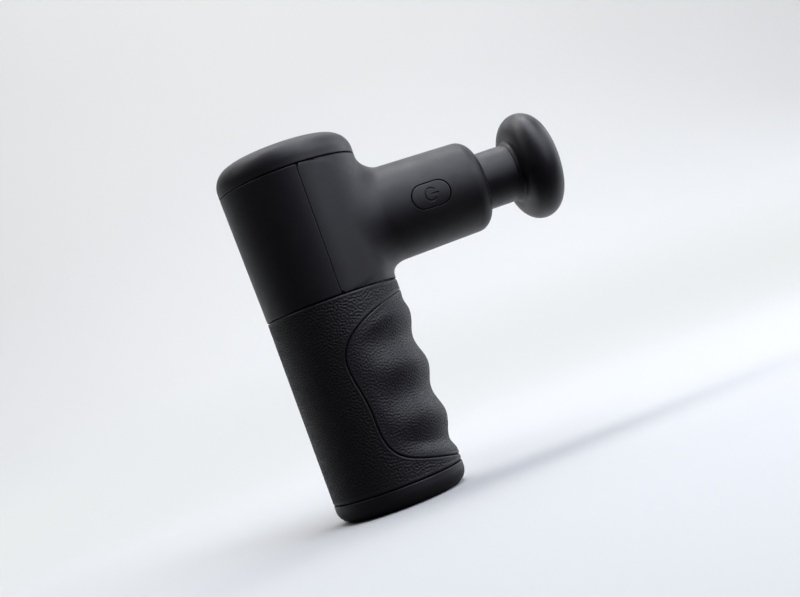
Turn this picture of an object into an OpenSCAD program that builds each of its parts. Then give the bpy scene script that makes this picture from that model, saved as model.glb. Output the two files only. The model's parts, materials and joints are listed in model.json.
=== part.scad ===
// Pocket percussion massage gun: a cylindrical body with a leather-grained grip, a barrel at its
// head and a flat massage head on a short neck.
// Frame: origin at the centre of the base's resting face, +Z up the body, +X along the barrel
// toward the massage head. The power button is on the -Y side of the barrel. Units: millimetres.

/* [Body] */
// Radius of the body at the top cap's seam
body_top_r = 24; // [23.5:0.1:24.5]
// Radius of the body at the seam between housing and grip
body_mid_r = 23; // [22.8:0.1:23.4]
// Radius of the body at the bottom cap's seam
body_base_r = 22.8; // [22.6:0.1:23]
// Height of the bottom cap's seam
base_seam_z = 7; // [6.8:0.1:7.4]
// Height of the seam between grip and housing
grip_seam_z = 71.5; // [71:0.1:72]
// Height of the top cap's seam
cap_seam_z = 116; // [115:0.5:117]
// Overall height of the body
body_h = 126.4; // [126:0.1:127]
// Wall of the caps and of the upper housing
wall = 2; // [1.8:0.1:2.1]

/* [Caps] */
// Edge rounding of the top cap
top_edge_r = 7.2; // [6.5:0.1:7.4]
// Rise of the top cap's crown
top_crown = 1; // [0.6:0.1:1.4]
// Edge rounding of the bottom cap
base_edge_r = 5; // [4.8:0.1:5.2]

/* [Barrel] */
// Height of the barrel's axis
barrel_z = 93.3; // [93:0.1:93.6]
// Distance from the body's axis to the barrel's front end
barrel_end_x = 62.5; // [62.3:0.1:63]
// Barrel radius where it leaves the body
barrel_root_r = 16.8; // [16.7:0.1:17.2]
// Barrel radius at its front edge rounding
barrel_tip_r = 16; // [15.9:0.1:16.3]
// Edge rounding of the barrel's front end
barrel_edge_r = 5.5; // [5.3:0.1:5.5]

/* [Massage head] */
// Radius of the massage head's disc
head_r = 19; // [17:0.5:21]
// Thickness of the disc
head_t = 13.2; // [12:0.2:14]
// Distance from the body's axis to the back of the disc
head_back_x = 76; // [75:0.5:78]
// Radius of the neck and of the piston it plugs into
neck_r = 10.1; // [10:0.05:10.15]

/* [Power button] */
// Distance from the body's axis to the button's centre
button_x = 41; // [40.8:0.1:41.2]
// Length of the button along the barrel
button_l = 13.6; // [13:0.2:13.8]
// Height of the button
button_h = 8.4; // [8:0.1:8.6]
// Travel of the button
button_travel = 0.4; // [0.3:0.05:0.4]

/* [Drive] */
// Crank radius: the stroke is twice this
crank_r = 4.5; // [4.2:0.1:4.5]
// Distance between the connecting rod's two pins
rod_l = 36; // [35.6:0.1:36]
// Running clearance of the piston in its bushes
run_gap = 0.05; // [0.03:0.01:0.08]

/* [Hidden] */
$fn = 96;
eps = 0.05;              // how far a cutter passes a face
seam_gap = 0.3;          // visible gap at each seam
body_z = [base_seam_z, grip_seam_z, cap_seam_z];
housing_in_low = body_mid_r - wall;
housing_in_top = body_top_r - wall;

// grip: a structural chassis tube inside a moulded sleeve with a finger pad let into its front
chassis_r = 20.4;
chassis_in_r = 19;
chassis_foot_z = 4.2;
chassis_top_z = 73.9;
sleeve_in_r = chassis_r;
groove_pitch = 18;       // a finger's width, from groove to groove
groove_top_z = 50.4;     // height of the top groove, in front
groove_z = [for (k = [0:2]) groove_top_z - k * groove_pitch];
groove_r = 22;           // radius of a groove's section
groove_depth = 1.3;
pad_seam = 0.25;         // width of the seam round the finger pad
// the pad's outline in side view, in three smooth arcs from the front over the side and back
pad_top = [[27, 68.4], [9, 64.6], [-6.6, 60], [-6.3, 48.5]];
pad_side = [[-6.3, 48.5], [-6.1, 42], [-4, 38.5], [-4, 29.5]];
pad_foot = [[-4, 29.5], [-4, 13.5], [2, 14.8], [27, 7.6]];

// barrel bore, its bushes and seal
bore_r = 14.5;
bore_end_x = 57;
front_hole_r = neck_r + 0.35;
seal_r = 12.5;
seal_t = 2.5;
rear_bush_x = [21, 31.5];
front_bush_x = [50, 57];

// button stack inside the barrel's wall, as distances from the body's middle plane
switch_board_y = -11;
switch_board_size = [16, 0.5, 13.2];
switch_t = 1;
plunger_t = 0.4;
button_nub_y = switch_board_y - switch_t - plunger_t - button_travel - 0.05;
button_flange_y = button_nub_y - 0.45;
button_lip = 0.8;        // how far the flange reaches past the outline
button_gap = 0.3;

// motor and crank, stacked on the body's axis
plate_z = 74;
plate_t = 2;
motor_z = plate_z + plate_t;
shaft_r = 1.5;
bearing_r = 4;
bearing_t = 3;
hub_r = 5.4;
hub_h = 9.2;
stator_r = 12.7;
stator_z = [motor_z + 1.5, motor_z + 7.5];
teeth = 9;
magnets = 12;
magnet_r = 13.1;
bell_r = 16;
bell_in_r = 14.5;
bell_z = [motor_z + 0.5, motor_z + 11.5];
bell_top_t = 1.7;
wheel_z = [bell_z[1] + 0.2, bell_z[1] + 2.7];
wheel_r = 9;
pin_r = 2;
rod_bearing_r = 5.5;
rod_bearing_t = 4;
side_gap = 0.15;          // end play of the crank pin's bearing
rod_t = 5;
big_eye_r = 7.6;
small_eye_r = 3;
wrist_pin_r = 1.5;
wrist_pin_h = 10;
wrist_x = rod_l - crank_r;

// piston and head
piston_x = [18.8, 60];
piston_in_r = 8.5;
piston_web_x = [45, 46.5];
socket_r = 8.05;
plug_r = 8;
core_r = 6.5;
core_depth = 4;          // how far the core reaches into the disc
ring_x = 53;
ring_minor = 0.9;
neck_rear_x = piston_x[1] + 0.2;

// frame screws, on a circle round the motor
screw_pitch_r = 18.6;
screw_r = 1.2;
screw_head_r = 1.8;
lug_t = 2.2;
lug_z = motor_z + lug_t;

// battery and boards
cell_r = 9.2;
cell_y = 9.3;
cell_z = 4.1;
cell_h = 65;
strap_t = 0.2;
port_x = -13.2;
port_size = [3.2, 8.9, 7.4];
charge_board_x = -11.6;
control_board_z = 105;
control_board_r = 19.6;
board_t = 1.6;
post_pitch_r = 15;
post_r = 2.2;

function housing_r(z) = body_mid_r + (body_top_r - body_mid_r) * (z - grip_seam_z)
    / (cap_seam_z - grip_seam_z);
function barrel_r(x) = barrel_tip_r + (barrel_root_r - barrel_tip_r)
    * (barrel_end_x - barrel_edge_r - x) / (barrel_end_x - barrel_edge_r - 20);
function bezier(p, t) = pow(1 - t, 3) * p[0] + 3 * t * pow(1 - t, 2) * p[1]
    + 3 * t * t * (1 - t) * p[2] + pow(t, 3) * p[3];
function arc_points(p, n, first) = [for (i = [first : n]) bezier(p, i / n)];

// places children, drawn along +Z, on the barrel's axis from x
module on_barrel(x = 0) {
    translate([x, 0, barrel_z]) rotate([0, 90, 0]) children();
}

module ring(r, in_r, h) {
    difference() {
        cylinder(r = r, h = h);
        translate([0, 0, -eps]) cylinder(r = in_r, h = h + 2 * eps);
    }
}

// copies children round the body's axis at the four frame screws
module at_frame_screws(angles = [45, 135, 225, 315]) {
    for (a = angles) rotate([0, 0, a]) translate([screw_pitch_r, 0, 0]) children();
}

module at_posts() {
    for (a = [60, 180, 300]) rotate([0, 0, a]) translate([post_pitch_r, 0, 0]) children();
}

// ---- shell ----

// half section of the top cap, inset by t from its outside
module cap_section(t) {
    r = body_top_r - t;
    edge = top_edge_r - t;
    flat = body_top_r - top_edge_r;
    rim = body_h - top_crown - t;
    crown_r = (flat * flat + top_crown * top_crown) / (2 * top_crown);
    translate([0, cap_seam_z + seam_gap / 2]) {
        square([r, rim - edge - cap_seam_z - seam_gap / 2]);
        square([flat, rim - cap_seam_z - seam_gap / 2]);
    }
    intersection() {
        translate([flat, rim - edge]) circle(r = edge);
        translate([flat - eps, rim - edge - eps]) square(edge + 2 * eps);
    }
    intersection() {
        translate([0, rim + top_crown - crown_r]) circle(r = crown_r, $fn = 360);
        translate([0, rim - eps]) square([flat, top_crown + 2 * eps]);
    }
}

module top_cap() color("#232427") {
    difference() {
        rotate_extrude() cap_section(0);
        rotate_extrude() cap_section(wall);
        translate([0, 0, cap_seam_z - eps]) cylinder(r = body_top_r - wall, h = seam_gap + eps);
    }
    // spigot that centres the cap in the housing
    translate([0, 0, cap_seam_z - 3]) ring(housing_in_top - 0.15, housing_in_top - 1.8, 8);
    // posts for the control board
    at_posts() translate([0, 0, control_board_z + board_t]) difference() {
        cylinder(r = post_r, h = body_h - wall - control_board_z - board_t);
        translate([0, 0, -eps]) cylinder(r = screw_r, h = 6, $fn = 32);
    }
}

module housing_cone(inset, z0, z1) {
    translate([0, 0, z0])
        cylinder(r1 = housing_r(z0) - inset, r2 = housing_r(z1) - inset, h = z1 - z0);
}

// keeps the front (side = 1) or the rear (side = -1) of the children, up to the parting plane
module half(side, gap = 0.08) {
    intersection() {
        children();
        translate([side > 0 ? gap : -100 - gap, -50, 0]) cube([100, 100, 150]);
    }
}

module frame_lugs(angles) {
    intersection() {
        difference() {
            translate([0, 0, motor_z]) at_frame_screws(angles) {
                cylinder(r = screw_head_r + 0.2, h = lug_t);
                translate([0, -screw_head_r - 0.2, 0]) cube([5, 2 * screw_head_r + 0.4, lug_t]);
            }
            translate([0, 0, motor_z - eps]) at_frame_screws(angles)
                cylinder(r = screw_r + 0.1, h = lug_t + 2 * eps, $fn = 32);
        }
        housing_cone(wall / 2, grip_seam_z, cap_seam_z);
    }
}

module rear_housing() color("#26272a") {
    half(-1) difference() {
        housing_cone(0, grip_seam_z + seam_gap / 2, cap_seam_z - seam_gap / 2);
        housing_cone(wall, grip_seam_z - 1, cap_seam_z + 1);
    }
    // tongue that aligns the two halves behind the parting line
    for (side = [-1, 1]) intersection() {
        difference() {
            housing_cone(wall - eps, chassis_top_z + 6, cap_seam_z - 4);
            housing_cone(wall + 1.2, chassis_top_z, cap_seam_z);
        }
        translate([-3, side > 0 ? 15 : -35, 0]) cube([2.9, 20, 150]);
    }
    for (side = [-1, 1]) intersection() {
        difference() {
            housing_cone(wall + 0.1, chassis_top_z + 6, cap_seam_z - 4);
            housing_cone(wall + 1.2, chassis_top_z, cap_seam_z);
        }
        translate([-0.2, side > 0 ? 15 : -35, 0]) cube([2.2, 20, 150]);
    }
    frame_lugs([135, 225]);
}

// half section of the barrel's outside, along its axis from the body's axis to the front
module barrel_section() {
    edge_x = barrel_end_x - barrel_edge_r;
    polygon([[0, 0], [barrel_r(0), 0], [barrel_tip_r, edge_x], [0, edge_x]]);
    square([barrel_tip_r - barrel_edge_r, barrel_end_x]);
    intersection() {
        translate([barrel_tip_r - barrel_edge_r, edge_x]) circle(r = barrel_edge_r);
        translate([0, edge_x - eps]) square([barrel_tip_r, barrel_edge_r + 2 * eps]);
    }
}

// the button's outline, grown by g, extruded inward from outside the barrel's -Y wall
module button_prism(g, y0, y1) {
    r = button_h / 2 + g;
    reach = button_l / 2 - button_h / 2;
    translate([button_x, y1, barrel_z]) rotate([90, 0, 0]) linear_extrude(y1 - y0) {
        for (s = [-1, 1]) translate([s * reach, 0]) circle(r = r);
        translate([-reach, -r]) square([2 * reach, 2 * r]);
    }
}

module front_housing() color("#26272a") {
    difference() {
        union() {
            half(1) housing_cone(0, grip_seam_z + seam_gap / 2, cap_seam_z - seam_gap / 2);
            half(1) on_barrel() rotate_extrude() barrel_section();
        }
        housing_cone(wall, grip_seam_z - 1, cap_seam_z + 1);
        on_barrel(-1) cylinder(r = bore_r, h = bore_end_x + 1);
        on_barrel(bore_end_x - eps) cylinder(r = seal_r, h = seal_t + eps);
        on_barrel(bore_end_x) cylinder(r = front_hole_r, h = 10);
        button_prism(button_gap, -20, -10);
    }
    // rails for the switch board
    rail_x = button_x - switch_board_size[0] / 2;
    for (side = [-1, 1]) intersection() {
        on_barrel(rail_x) cylinder(r = bore_r + 0.5, h = switch_board_size[0]);
        translate([rail_x, -bore_r, barrel_z + side * (switch_board_size[2] / 2 - 0.5) - 0.5])
            cube([switch_board_size[0], bore_r + switch_board_y, 1]);
    }
    frame_lugs([45, 315]);
}

module bottom_section(t) {
    r = body_base_r - t;
    edge = base_edge_r - t;
    flat = body_base_r - base_edge_r;
    translate([0, t]) square([flat, base_seam_z - seam_gap / 2 - t]);
    translate([0, base_edge_r]) square([r, base_seam_z - seam_gap / 2 - base_edge_r]);
    intersection() {
        translate([flat, base_edge_r]) circle(r = edge);
        translate([flat - eps, t - eps]) square([edge + 2 * eps, edge + 2 * eps]);
    }
}

module bottom_cap() color("#232427") {
    difference() {
        rotate_extrude() bottom_section(0);
        rotate_extrude() bottom_section(wall);
        translate([0, 0, base_seam_z - 1]) cylinder(r = body_base_r - wall, h = 2);
        // mouth of the charging port
        translate([port_x, 0, -eps]) linear_extrude(wall + 2 * eps)
            port_outline(port_size[0] + 0.8, port_size[1] + 1.1);
    }
    // pads under the chassis tube's foot
    for (a = [30, 150, 270]) rotate([0, 0, a]) translate([18.7, -3, wall - eps])
        cube([1.6, 6, chassis_foot_z - wall + eps]);
}

// ---- grip ----

module pad_outline(g) {
    points = concat(arc_points(pad_top, 9, 0), arc_points(pad_side, 4, 1),
        arc_points(pad_foot, 9, 1));
    polygon([for (p = points) [p[0] + g, p[1] + (p[1] > 40 ? -g : g)]]);
}

module pad_prism(g) {
    translate([0, 50, 0]) rotate([90, 0, 0]) linear_extrude(100) pad_outline(g);
}

module grip_tube() {
    z0 = base_seam_z + seam_gap / 2;
    z1 = grip_seam_z - seam_gap / 2;
    difference() {
        translate([0, 0, z0]) cylinder(r1 = body_base_r, r2 = body_mid_r, h = z1 - z0);
        translate([0, 0, z0 - 1]) cylinder(r = sleeve_in_r, h = z1 - z0 + 2);
    }
}

module grip_sleeve() color("#1d1e20") {
    difference() {
        grip_tube();
        pad_prism(0);
    }
}

module finger_pad() color("#202123") {
    difference() {
        intersection() {
            grip_tube();
            pad_prism(pad_seam);
        }
        for (z = groove_z) translate([body_mid_r + groove_r - groove_depth, 40, z])
            rotate([90, 0, 0]) cylinder(r = groove_r, h = 80);
    }
}

module chassis_tube() color("#3b3d40") {
    boss_h = 9;
    difference() {
        union() {
            translate([0, 0, chassis_foot_z])
                cylinder(r = chassis_r, h = chassis_top_z - chassis_foot_z);
            // collar inside the housing's lower rim
            translate([0, 0, grip_seam_z])
                cylinder(r = housing_in_low - 0.1, h = chassis_top_z - grip_seam_z);
        }
        difference() {
            translate([0, 0, chassis_foot_z - 1])
                cylinder(r = chassis_in_r, h = chassis_top_z - chassis_foot_z + 2);
            // screw bosses
            translate([0, 0, chassis_top_z - boss_h]) at_frame_screws()
                cylinder(r = 2.8, h = boss_h + 2);
        }
        translate([0, 0, chassis_top_z - boss_h + 2]) at_frame_screws()
            cylinder(r = screw_r, h = boss_h, $fn = 32);
    }
}

// ---- barrel ----

module bush(span) {
    on_barrel(span[0]) ring(bore_r, neck_r + run_gap, span[1] - span[0]);
}

module rear_bush() color("#e8e4d8") bush(rear_bush_x);

module front_bush() color("#e8e4d8") bush(front_bush_x);

module barrel_seal() color("#161617") {
    on_barrel(bore_end_x) ring(seal_r, neck_r + run_gap, seal_t);
}

module power_button() color("#1f2022") {
    difference() {
        intersection() {
            button_prism(0, -20, button_nub_y);
            on_barrel() rotate_extrude() barrel_section();
        }
        // debossed power symbol: an open ring and a bar that points to the front
        translate([button_x, -barrel_r(button_x) + 0.3, barrel_z]) rotate([90, 0, 0])
            linear_extrude(2) {
                difference() {
                    circle(r = 2.4);
                    circle(r = 1.9);
                    translate([0, -1.1]) square([4, 2.2]);
                }
                translate([0.3, -0.25]) square([2.4, 0.5]);
            }
    }
    button_prism(button_lip, button_flange_y, button_nub_y);
}

module tact_switch() color("#8a8d90") {
    body = 5.2;
    top_y = switch_board_y - switch_t;
    translate([button_x - body / 2, top_y, barrel_z - body / 2]) cube([body, switch_t, body]);
    translate([button_x, top_y + eps, barrel_z]) rotate([90, 0, 0])
        cylinder(r = 1.6, h = plunger_t + eps);
}

module switch_board() color("#1c5a33") {
    size = switch_board_size;
    translate([button_x - size[0] / 2, switch_board_y, barrel_z - size[2] / 2]) cube(size);
}

// ---- motor ----

module motor_plate() color("#b9bcc0") {
    difference() {
        union() {
            translate([0, 0, plate_z]) cylinder(r = chassis_r, h = plate_t);
            translate([0, 0, plate_z]) cylinder(r = hub_r, h = plate_t + hub_h);
        }
        translate([0, 0, plate_z + 0.3]) cylinder(r = bearing_r, h = plate_t + hub_h);
        translate([0, 0, plate_z - eps]) at_frame_screws()
            cylinder(r = screw_r + 0.1, h = plate_t + 2 * eps, $fn = 32);
        for (a = [0, 90, 270]) rotate([0, 0, a]) translate([11, 0, plate_z - eps])
            cylinder(r = 2.5, h = plate_t + 2 * eps);
        // passage for the leads at the back
        translate([-25, -4, plate_z - eps]) cube([9, 8, plate_t + 2 * eps]);
    }
}

module shaft_bearings() color("#c9ccd0") {
    for (z = [plate_z + 0.4, motor_z + hub_h - bearing_t - 0.2]) translate([0, 0, z]) {
        ring(bearing_r, bearing_r - 0.9, bearing_t);
        ring(shaft_r + 0.8, shaft_r + run_gap, bearing_t);
        translate([0, 0, bearing_t / 2 - 0.4]) ring(bearing_r - 0.9, shaft_r + 0.8, 0.8);
    }
}

module stator_core() color("#75787c") {
    tip_in = stator_r - 1.3;
    translate([0, 0, stator_z[0]]) linear_extrude(stator_z[1] - stator_z[0]) difference() {
        union() {
            circle(r = hub_r + 2.2);
            for (i = [0 : teeth - 1]) rotate(i * 360 / teeth) {
                translate([hub_r, -1.1]) square([tip_in - hub_r + 0.5, 2.2]);
                intersection() {
                    difference() {
                        circle(r = stator_r);
                        circle(r = tip_in);
                    }
                    translate([tip_in - 3, -3.6]) square([6, 7.2]);
                }
            }
        }
        circle(r = hub_r);
    }
}

module stator_windings() color("#b5652b") {
    h = stator_z[1] - stator_z[0];
    for (i = [0 : teeth - 1]) rotate([0, 0, i * 360 / teeth])
        translate([hub_r + 2.6, 0, stator_z[0]]) difference() {
            translate([0, -2.1, -1]) cube([3.1, 4.2, h + 2]);
            translate([-eps, -1.1, 0]) cube([4, 2.2, h]);
        }
}

module motor_shaft() color("#d5d7da") {
    translate([0, 0, plate_z + 0.35]) cylinder(r = shaft_r, h = wheel_z[1] - plate_z - 0.35);
}

module rotor_bell() color("#8d9094") {
    roof_z = bell_z[1] - bell_top_t;
    difference() {
        union() {
            translate([0, 0, bell_z[0]]) ring(bell_r, bell_in_r, bell_z[1] - bell_z[0]);
            translate([0, 0, roof_z]) cylinder(r = bell_in_r + eps, h = bell_top_t);
        }
        translate([0, 0, roof_z - eps]) cylinder(r = shaft_r, h = bell_top_t + 2 * eps);
        for (a = [0 : 60 : 300]) rotate([0, 0, a + 30]) translate([9, 0, roof_z - eps])
            cylinder(r = 2.6, h = bell_top_t + 2 * eps);
    }
}

module rotor_magnets() color("#4b4e52") {
    span = 360 / magnets - 4;
    for (i = [0 : magnets - 1]) rotate([0, 0, i * 360 / magnets])
        translate([0, 0, bell_z[0] + 0.4]) rotate_extrude(angle = span)
            translate([magnet_r, 0]) square([bell_in_r - magnet_r, 7.4]);
}

module crank_wheel() color("#a3a6aa") {
    h = wheel_z[1] - wheel_z[0];
    translate([0, 0, wheel_z[0]]) difference() {
        union() {
            cylinder(r = wheel_r, h = h);
            // counterweight, opposite the crank pin
            intersection() {
                cylinder(r = bell_r, h = h);
                translate([2, -12, 0]) cube([15, 24, h]);
            }
        }
        translate([0, 0, -eps]) cylinder(r = shaft_r, h = h + 2 * eps);
        translate([-crank_r, 0, -eps]) cylinder(r = pin_r, h = h + 2 * eps);
    }
}

module crank_pin() color("#dfe1e4") {
    top = barrel_z + rod_t / 2 + 1;
    translate([-crank_r, 0, wheel_z[0]]) {
        cylinder(r = pin_r, h = top - wheel_z[0]);
        // collar under the bearing's inner ring and head above it
        translate([0, 0, wheel_z[1] - wheel_z[0]])
            cylinder(r = pin_r + 0.8, h = barrel_z - rod_bearing_t / 2 - side_gap - wheel_z[1]);
        translate([0, 0, barrel_z + rod_bearing_t / 2 + side_gap - wheel_z[0]])
            cylinder(r = pin_r + 0.8, h = (rod_t - rod_bearing_t) / 2 + 1 - side_gap);
    }
}

module connecting_rod() color("#9fa2a6") {
    translate([0, 0, barrel_z - rod_t / 2]) difference() {
        union() {
            translate([-crank_r, 0, 0]) cylinder(r = big_eye_r, h = rod_t);
            translate([wrist_x, 0, 0]) cylinder(r = small_eye_r, h = rod_t);
            translate([-crank_r, -2.6, 0]) cube([rod_l, 5.2, rod_t]);
        }
        translate([-crank_r, 0, -eps]) cylinder(r = rod_bearing_r, h = rod_t + 2 * eps);
        translate([wrist_x, 0, -eps]) cylinder(r = wrist_pin_r, h = rod_t + 2 * eps);
        // weight-saving slot along the shank
        translate([-crank_r + big_eye_r + 3, -1, -eps]) cube([rod_l - big_eye_r - 10, 2, 20]);
    }
}

module rod_bearing() color("#c9ccd0") {
    translate([-crank_r, 0, barrel_z - rod_bearing_t / 2]) {
        ring(rod_bearing_r, rod_bearing_r - 1.1, rod_bearing_t);
        ring(pin_r + 1.1, pin_r + run_gap, rod_bearing_t);
        translate([0, 0, rod_bearing_t / 2 - 0.5]) ring(rod_bearing_r - 1.1, pin_r + 1.1, 1);
    }
}

module wrist_pin() color("#dfe1e4") {
    translate([wrist_x, 0, barrel_z - wrist_pin_h / 2]) cylinder(r = wrist_pin_r, h = wrist_pin_h);
}

module piston() color("#2b2c2f") {
    on_barrel(piston_x[0]) difference() {
        cylinder(r = neck_r, h = piston_x[1] - piston_x[0]);
        translate([0, 0, -eps]) cylinder(r = piston_in_r, h = piston_web_x[0] - piston_x[0] + eps);
        translate([0, 0, piston_web_x[1] - piston_x[0]]) cylinder(r = socket_r, h = 30);
    }
}

// ---- massage head ----

module massage_head() color("#202124") {
    flat = head_r - head_t / 2;
    fillet = 1.5;
    on_barrel() rotate_extrude() difference() {
        union() {
            translate([0, neck_rear_x]) square([neck_r, head_back_x - neck_rear_x + 1]);
            translate([0, head_back_x]) square([flat, head_t]);
            // rounded rim
            translate([flat, head_back_x + head_t / 2]) circle(r = head_t / 2);
            // fillet between the neck and the disc's back
            difference() {
                translate([neck_r - eps, head_back_x - fillet]) square([fillet, fillet + eps]);
                translate([neck_r + fillet, head_back_x - fillet]) circle(r = fillet);
            }
        }
        translate([-30, 0]) square([30, 100]);
        translate([0, neck_rear_x - 1]) square([core_r, head_back_x + core_depth + 1 - neck_rear_x]);
    }
}

module head_core() color("#e0dfdb") {
    x0 = piston_web_x[1] + 0.3;
    on_barrel() rotate_extrude() difference() {
        union() {
            translate([0, x0]) square([plug_r, neck_rear_x - x0]);
            translate([0, x0]) square([core_r, head_back_x + core_depth - x0]);
        }
        translate([plug_r, ring_x]) circle(r = ring_minor + 0.1, $fn = 48);
    }
}

module head_ring() color("#7c2b22") {
    on_barrel(ring_x) rotate_extrude() intersection() {
        translate([plug_r, 0]) circle(r = ring_minor, $fn = 48);
        translate([0, -2]) square([plug_r, 4]);
    }
}

// ---- electronics ----

module control_board() color("#1c5a33") {
    translate([0, 0, control_board_z]) difference() {
        cylinder(r = control_board_r, h = board_t);
        translate([0, 0, -eps]) at_posts() cylinder(r = screw_r + 0.1, h = 2, $fn = 32);
    }
}

module control_chips() color("#2d2f33") {
    translate([0, 0, control_board_z + board_t]) {
        translate([-4, -4, 0]) cube([7, 7, 1]);
        for (y = [-10, -4.5, 5.5]) translate([4, y, 0]) cube([5, 4, 1.1]);
        translate([-2, 12, 0]) cylinder(r = 3.2, h = 8);
        translate([-6, -15, 0]) cube([8, 5, 5]);
    }
}

module board_screws() color("#c0c3c7") {
    at_posts() translate([0, 0, control_board_z - 1.4]) {
        cylinder(r = screw_head_r, h = 1.4, $fn = 48);
        cylinder(r = screw_r - 0.05, h = 6.5, $fn = 32);
    }
}

module charge_board() color("#1c5a33") {
    translate([charge_board_x, -10, 4.5]) cube([1, 20, 40]);
}

module charge_chips() color("#2d2f33") {
    translate([charge_board_x - 1.2, -7, 14]) cube([1.2, 5, 5]);
    translate([charge_board_x - 1.2, 1, 14]) cube([1.2, 6, 5]);
    translate([charge_board_x - 3, -4, 24]) cube([3, 8, 7]);
}

// the port's outline: a slot with full round ends, w across and l long
module port_outline(w, l) {
    for (s = [-1, 1]) translate([0, s * (l - w) / 2]) circle(r = w / 2);
    translate([-w / 2, (w - l) / 2]) square([w, l - w]);
}

module usb_port() color("#c4c7cb") {
    shell_t = 0.35;
    translate([port_x, 0, 0.6]) difference() {
        linear_extrude(port_size[2]) port_outline(port_size[0], port_size[1]);
        translate([0, 0, -eps]) linear_extrude(6)
            port_outline(port_size[0] - 2 * shell_t, port_size[1] - 2 * shell_t);
    }
    // tongue
    translate([port_x - 0.35, -3.2, 1.6]) cube([0.7, 6.4, 5.2]);
}

module battery_cell(y) {
    translate([0, y, cell_z]) {
        cylinder(r = cell_r, h = cell_h - 1);
        translate([0, 0, cell_h - 1 - eps]) cylinder(r = 3, h = 1 + eps);
    }
}

module battery_cell_left() color("#2f6fb3") battery_cell(cell_y);

module battery_cell_right() color("#2f6fb3") battery_cell(-cell_y);

module tray_outline(r) {
    intersection() {
        circle(r = r);
        difference() {
            for (s = [-1, 1]) translate([0, s * cell_y]) circle(r = cell_r + 1);
            for (s = [-1, 1]) translate([0, s * cell_y]) circle(r = cell_r + 0.05);
        }
    }
}

module lower_cell_tray() color("#d8d8d4") {
    translate([0, 0, wall + 0.1]) difference() {
        cylinder(r = 17, h = cell_z - strap_t - wall - 0.1);
        translate([-30, -30, -eps]) cube([20, 60, 5]);
    }
    difference() {
        translate([0, 0, cell_z - strap_t - eps]) linear_extrude(4) tray_outline(17);
        // passage for the strap between the cells
        translate([-4.2, -2, cell_z - strap_t]) cube([8.4, 4, strap_t + 0.1]);
    }
}

module upper_cell_tray() color("#d8d8d4") {
    z = cell_z + cell_h + strap_t;
    translate([0, 0, z]) difference() {
        cylinder(r = 18.6, h = 1.6);
        translate([-30, -30, -eps]) cube([19, 60, 5]);
        at_frame_screws([45, 135, 225, 315]) translate([0, 0, -eps]) cylinder(r = 3.2, h = 5);
    }
    translate([0, 0, z - 4]) linear_extrude(4 + eps) difference() {
        tray_outline(18.6);
        for (a = [45, 135, 225, 315]) rotate(a) translate([screw_pitch_r, 0]) circle(r = 3.2);
    }
}

module cell_straps() color("#cfcfc8") {
    translate([-4, -13, cell_z - strap_t]) cube([8, 26, strap_t]);
    for (s = [-1, 1]) translate([-3, s * cell_y - 3, cell_z + cell_h]) cube([6, 6, strap_t]);
}

module wire(points, r) {
    for (i = [0 : len(points) - 2]) {
        d = points[i + 1] - points[i];
        l = norm(d);
        translate(points[i]) rotate([0, acos(d[2] / l), atan2(d[1], d[0])])
            cylinder(r = r, h = l, $fn = 24);
    }
    for (i = [1 : len(points) - 2]) translate(points[i]) sphere(r = r * 1.1, $fn = 24);
}

module battery_leads() color("#b3261e") {
    for (s = [-1, 1]) wire([[charge_board_x + 0.5, s * 2.4, 44.5], [-11.1, s * 2.4, 66],
        [-17.6, s * 1.6, 71.5], [-17.6, s * 1.6, control_board_z]], 0.7);
}

module phase_wires() color("#d9b23a") {
    for (a = [165, 195]) rotate([0, 0, a]) wire([[18.4, 0, motor_z], [18.4, 0, control_board_z]],
        0.7);
    wire([[-19.4, 0, motor_z - 1.5], [-19.4, 0, control_board_z]], 0.7);
}

module frame_screws() color("#c0c3c7") {
    at_frame_screws() {
        translate([0, 0, lug_z]) cylinder(r = screw_head_r, h = 1.6, $fn = 48);
        translate([0, 0, chassis_top_z - 6]) cylinder(r = screw_r - 0.05,
            h = lug_z - chassis_top_z + 6 + eps, $fn = 32);
    }
}

top_cap();
rear_housing();
front_housing();
grip_sleeve();
finger_pad();
bottom_cap();
chassis_tube();
rear_bush();
front_bush();
barrel_seal();
power_button();
tact_switch();
switch_board();
motor_plate();
shaft_bearings();
stator_core();
stator_windings();
motor_shaft();
rotor_bell();
rotor_magnets();
crank_wheel();
crank_pin();
connecting_rod();
rod_bearing();
wrist_pin();
piston();
massage_head();
head_core();
head_ring();
control_board();
control_chips();
board_screws();
charge_board();
charge_chips();
usb_port();
battery_cell_left();
battery_cell_right();
lower_cell_tray();
upper_cell_tray();
cell_straps();
battery_leads();
phase_wires();
frame_screws();
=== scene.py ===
"""Looks of a pocket massage gun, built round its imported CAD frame. Lengths are in millimetres unless a
comment says otherwise, and MM turns them into metres."""

import json
import math

import bmesh
import bpy
import numpy as np
from mathutils import Matrix, Vector
from mathutils.geometry import delaunay_2d_cdt


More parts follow.
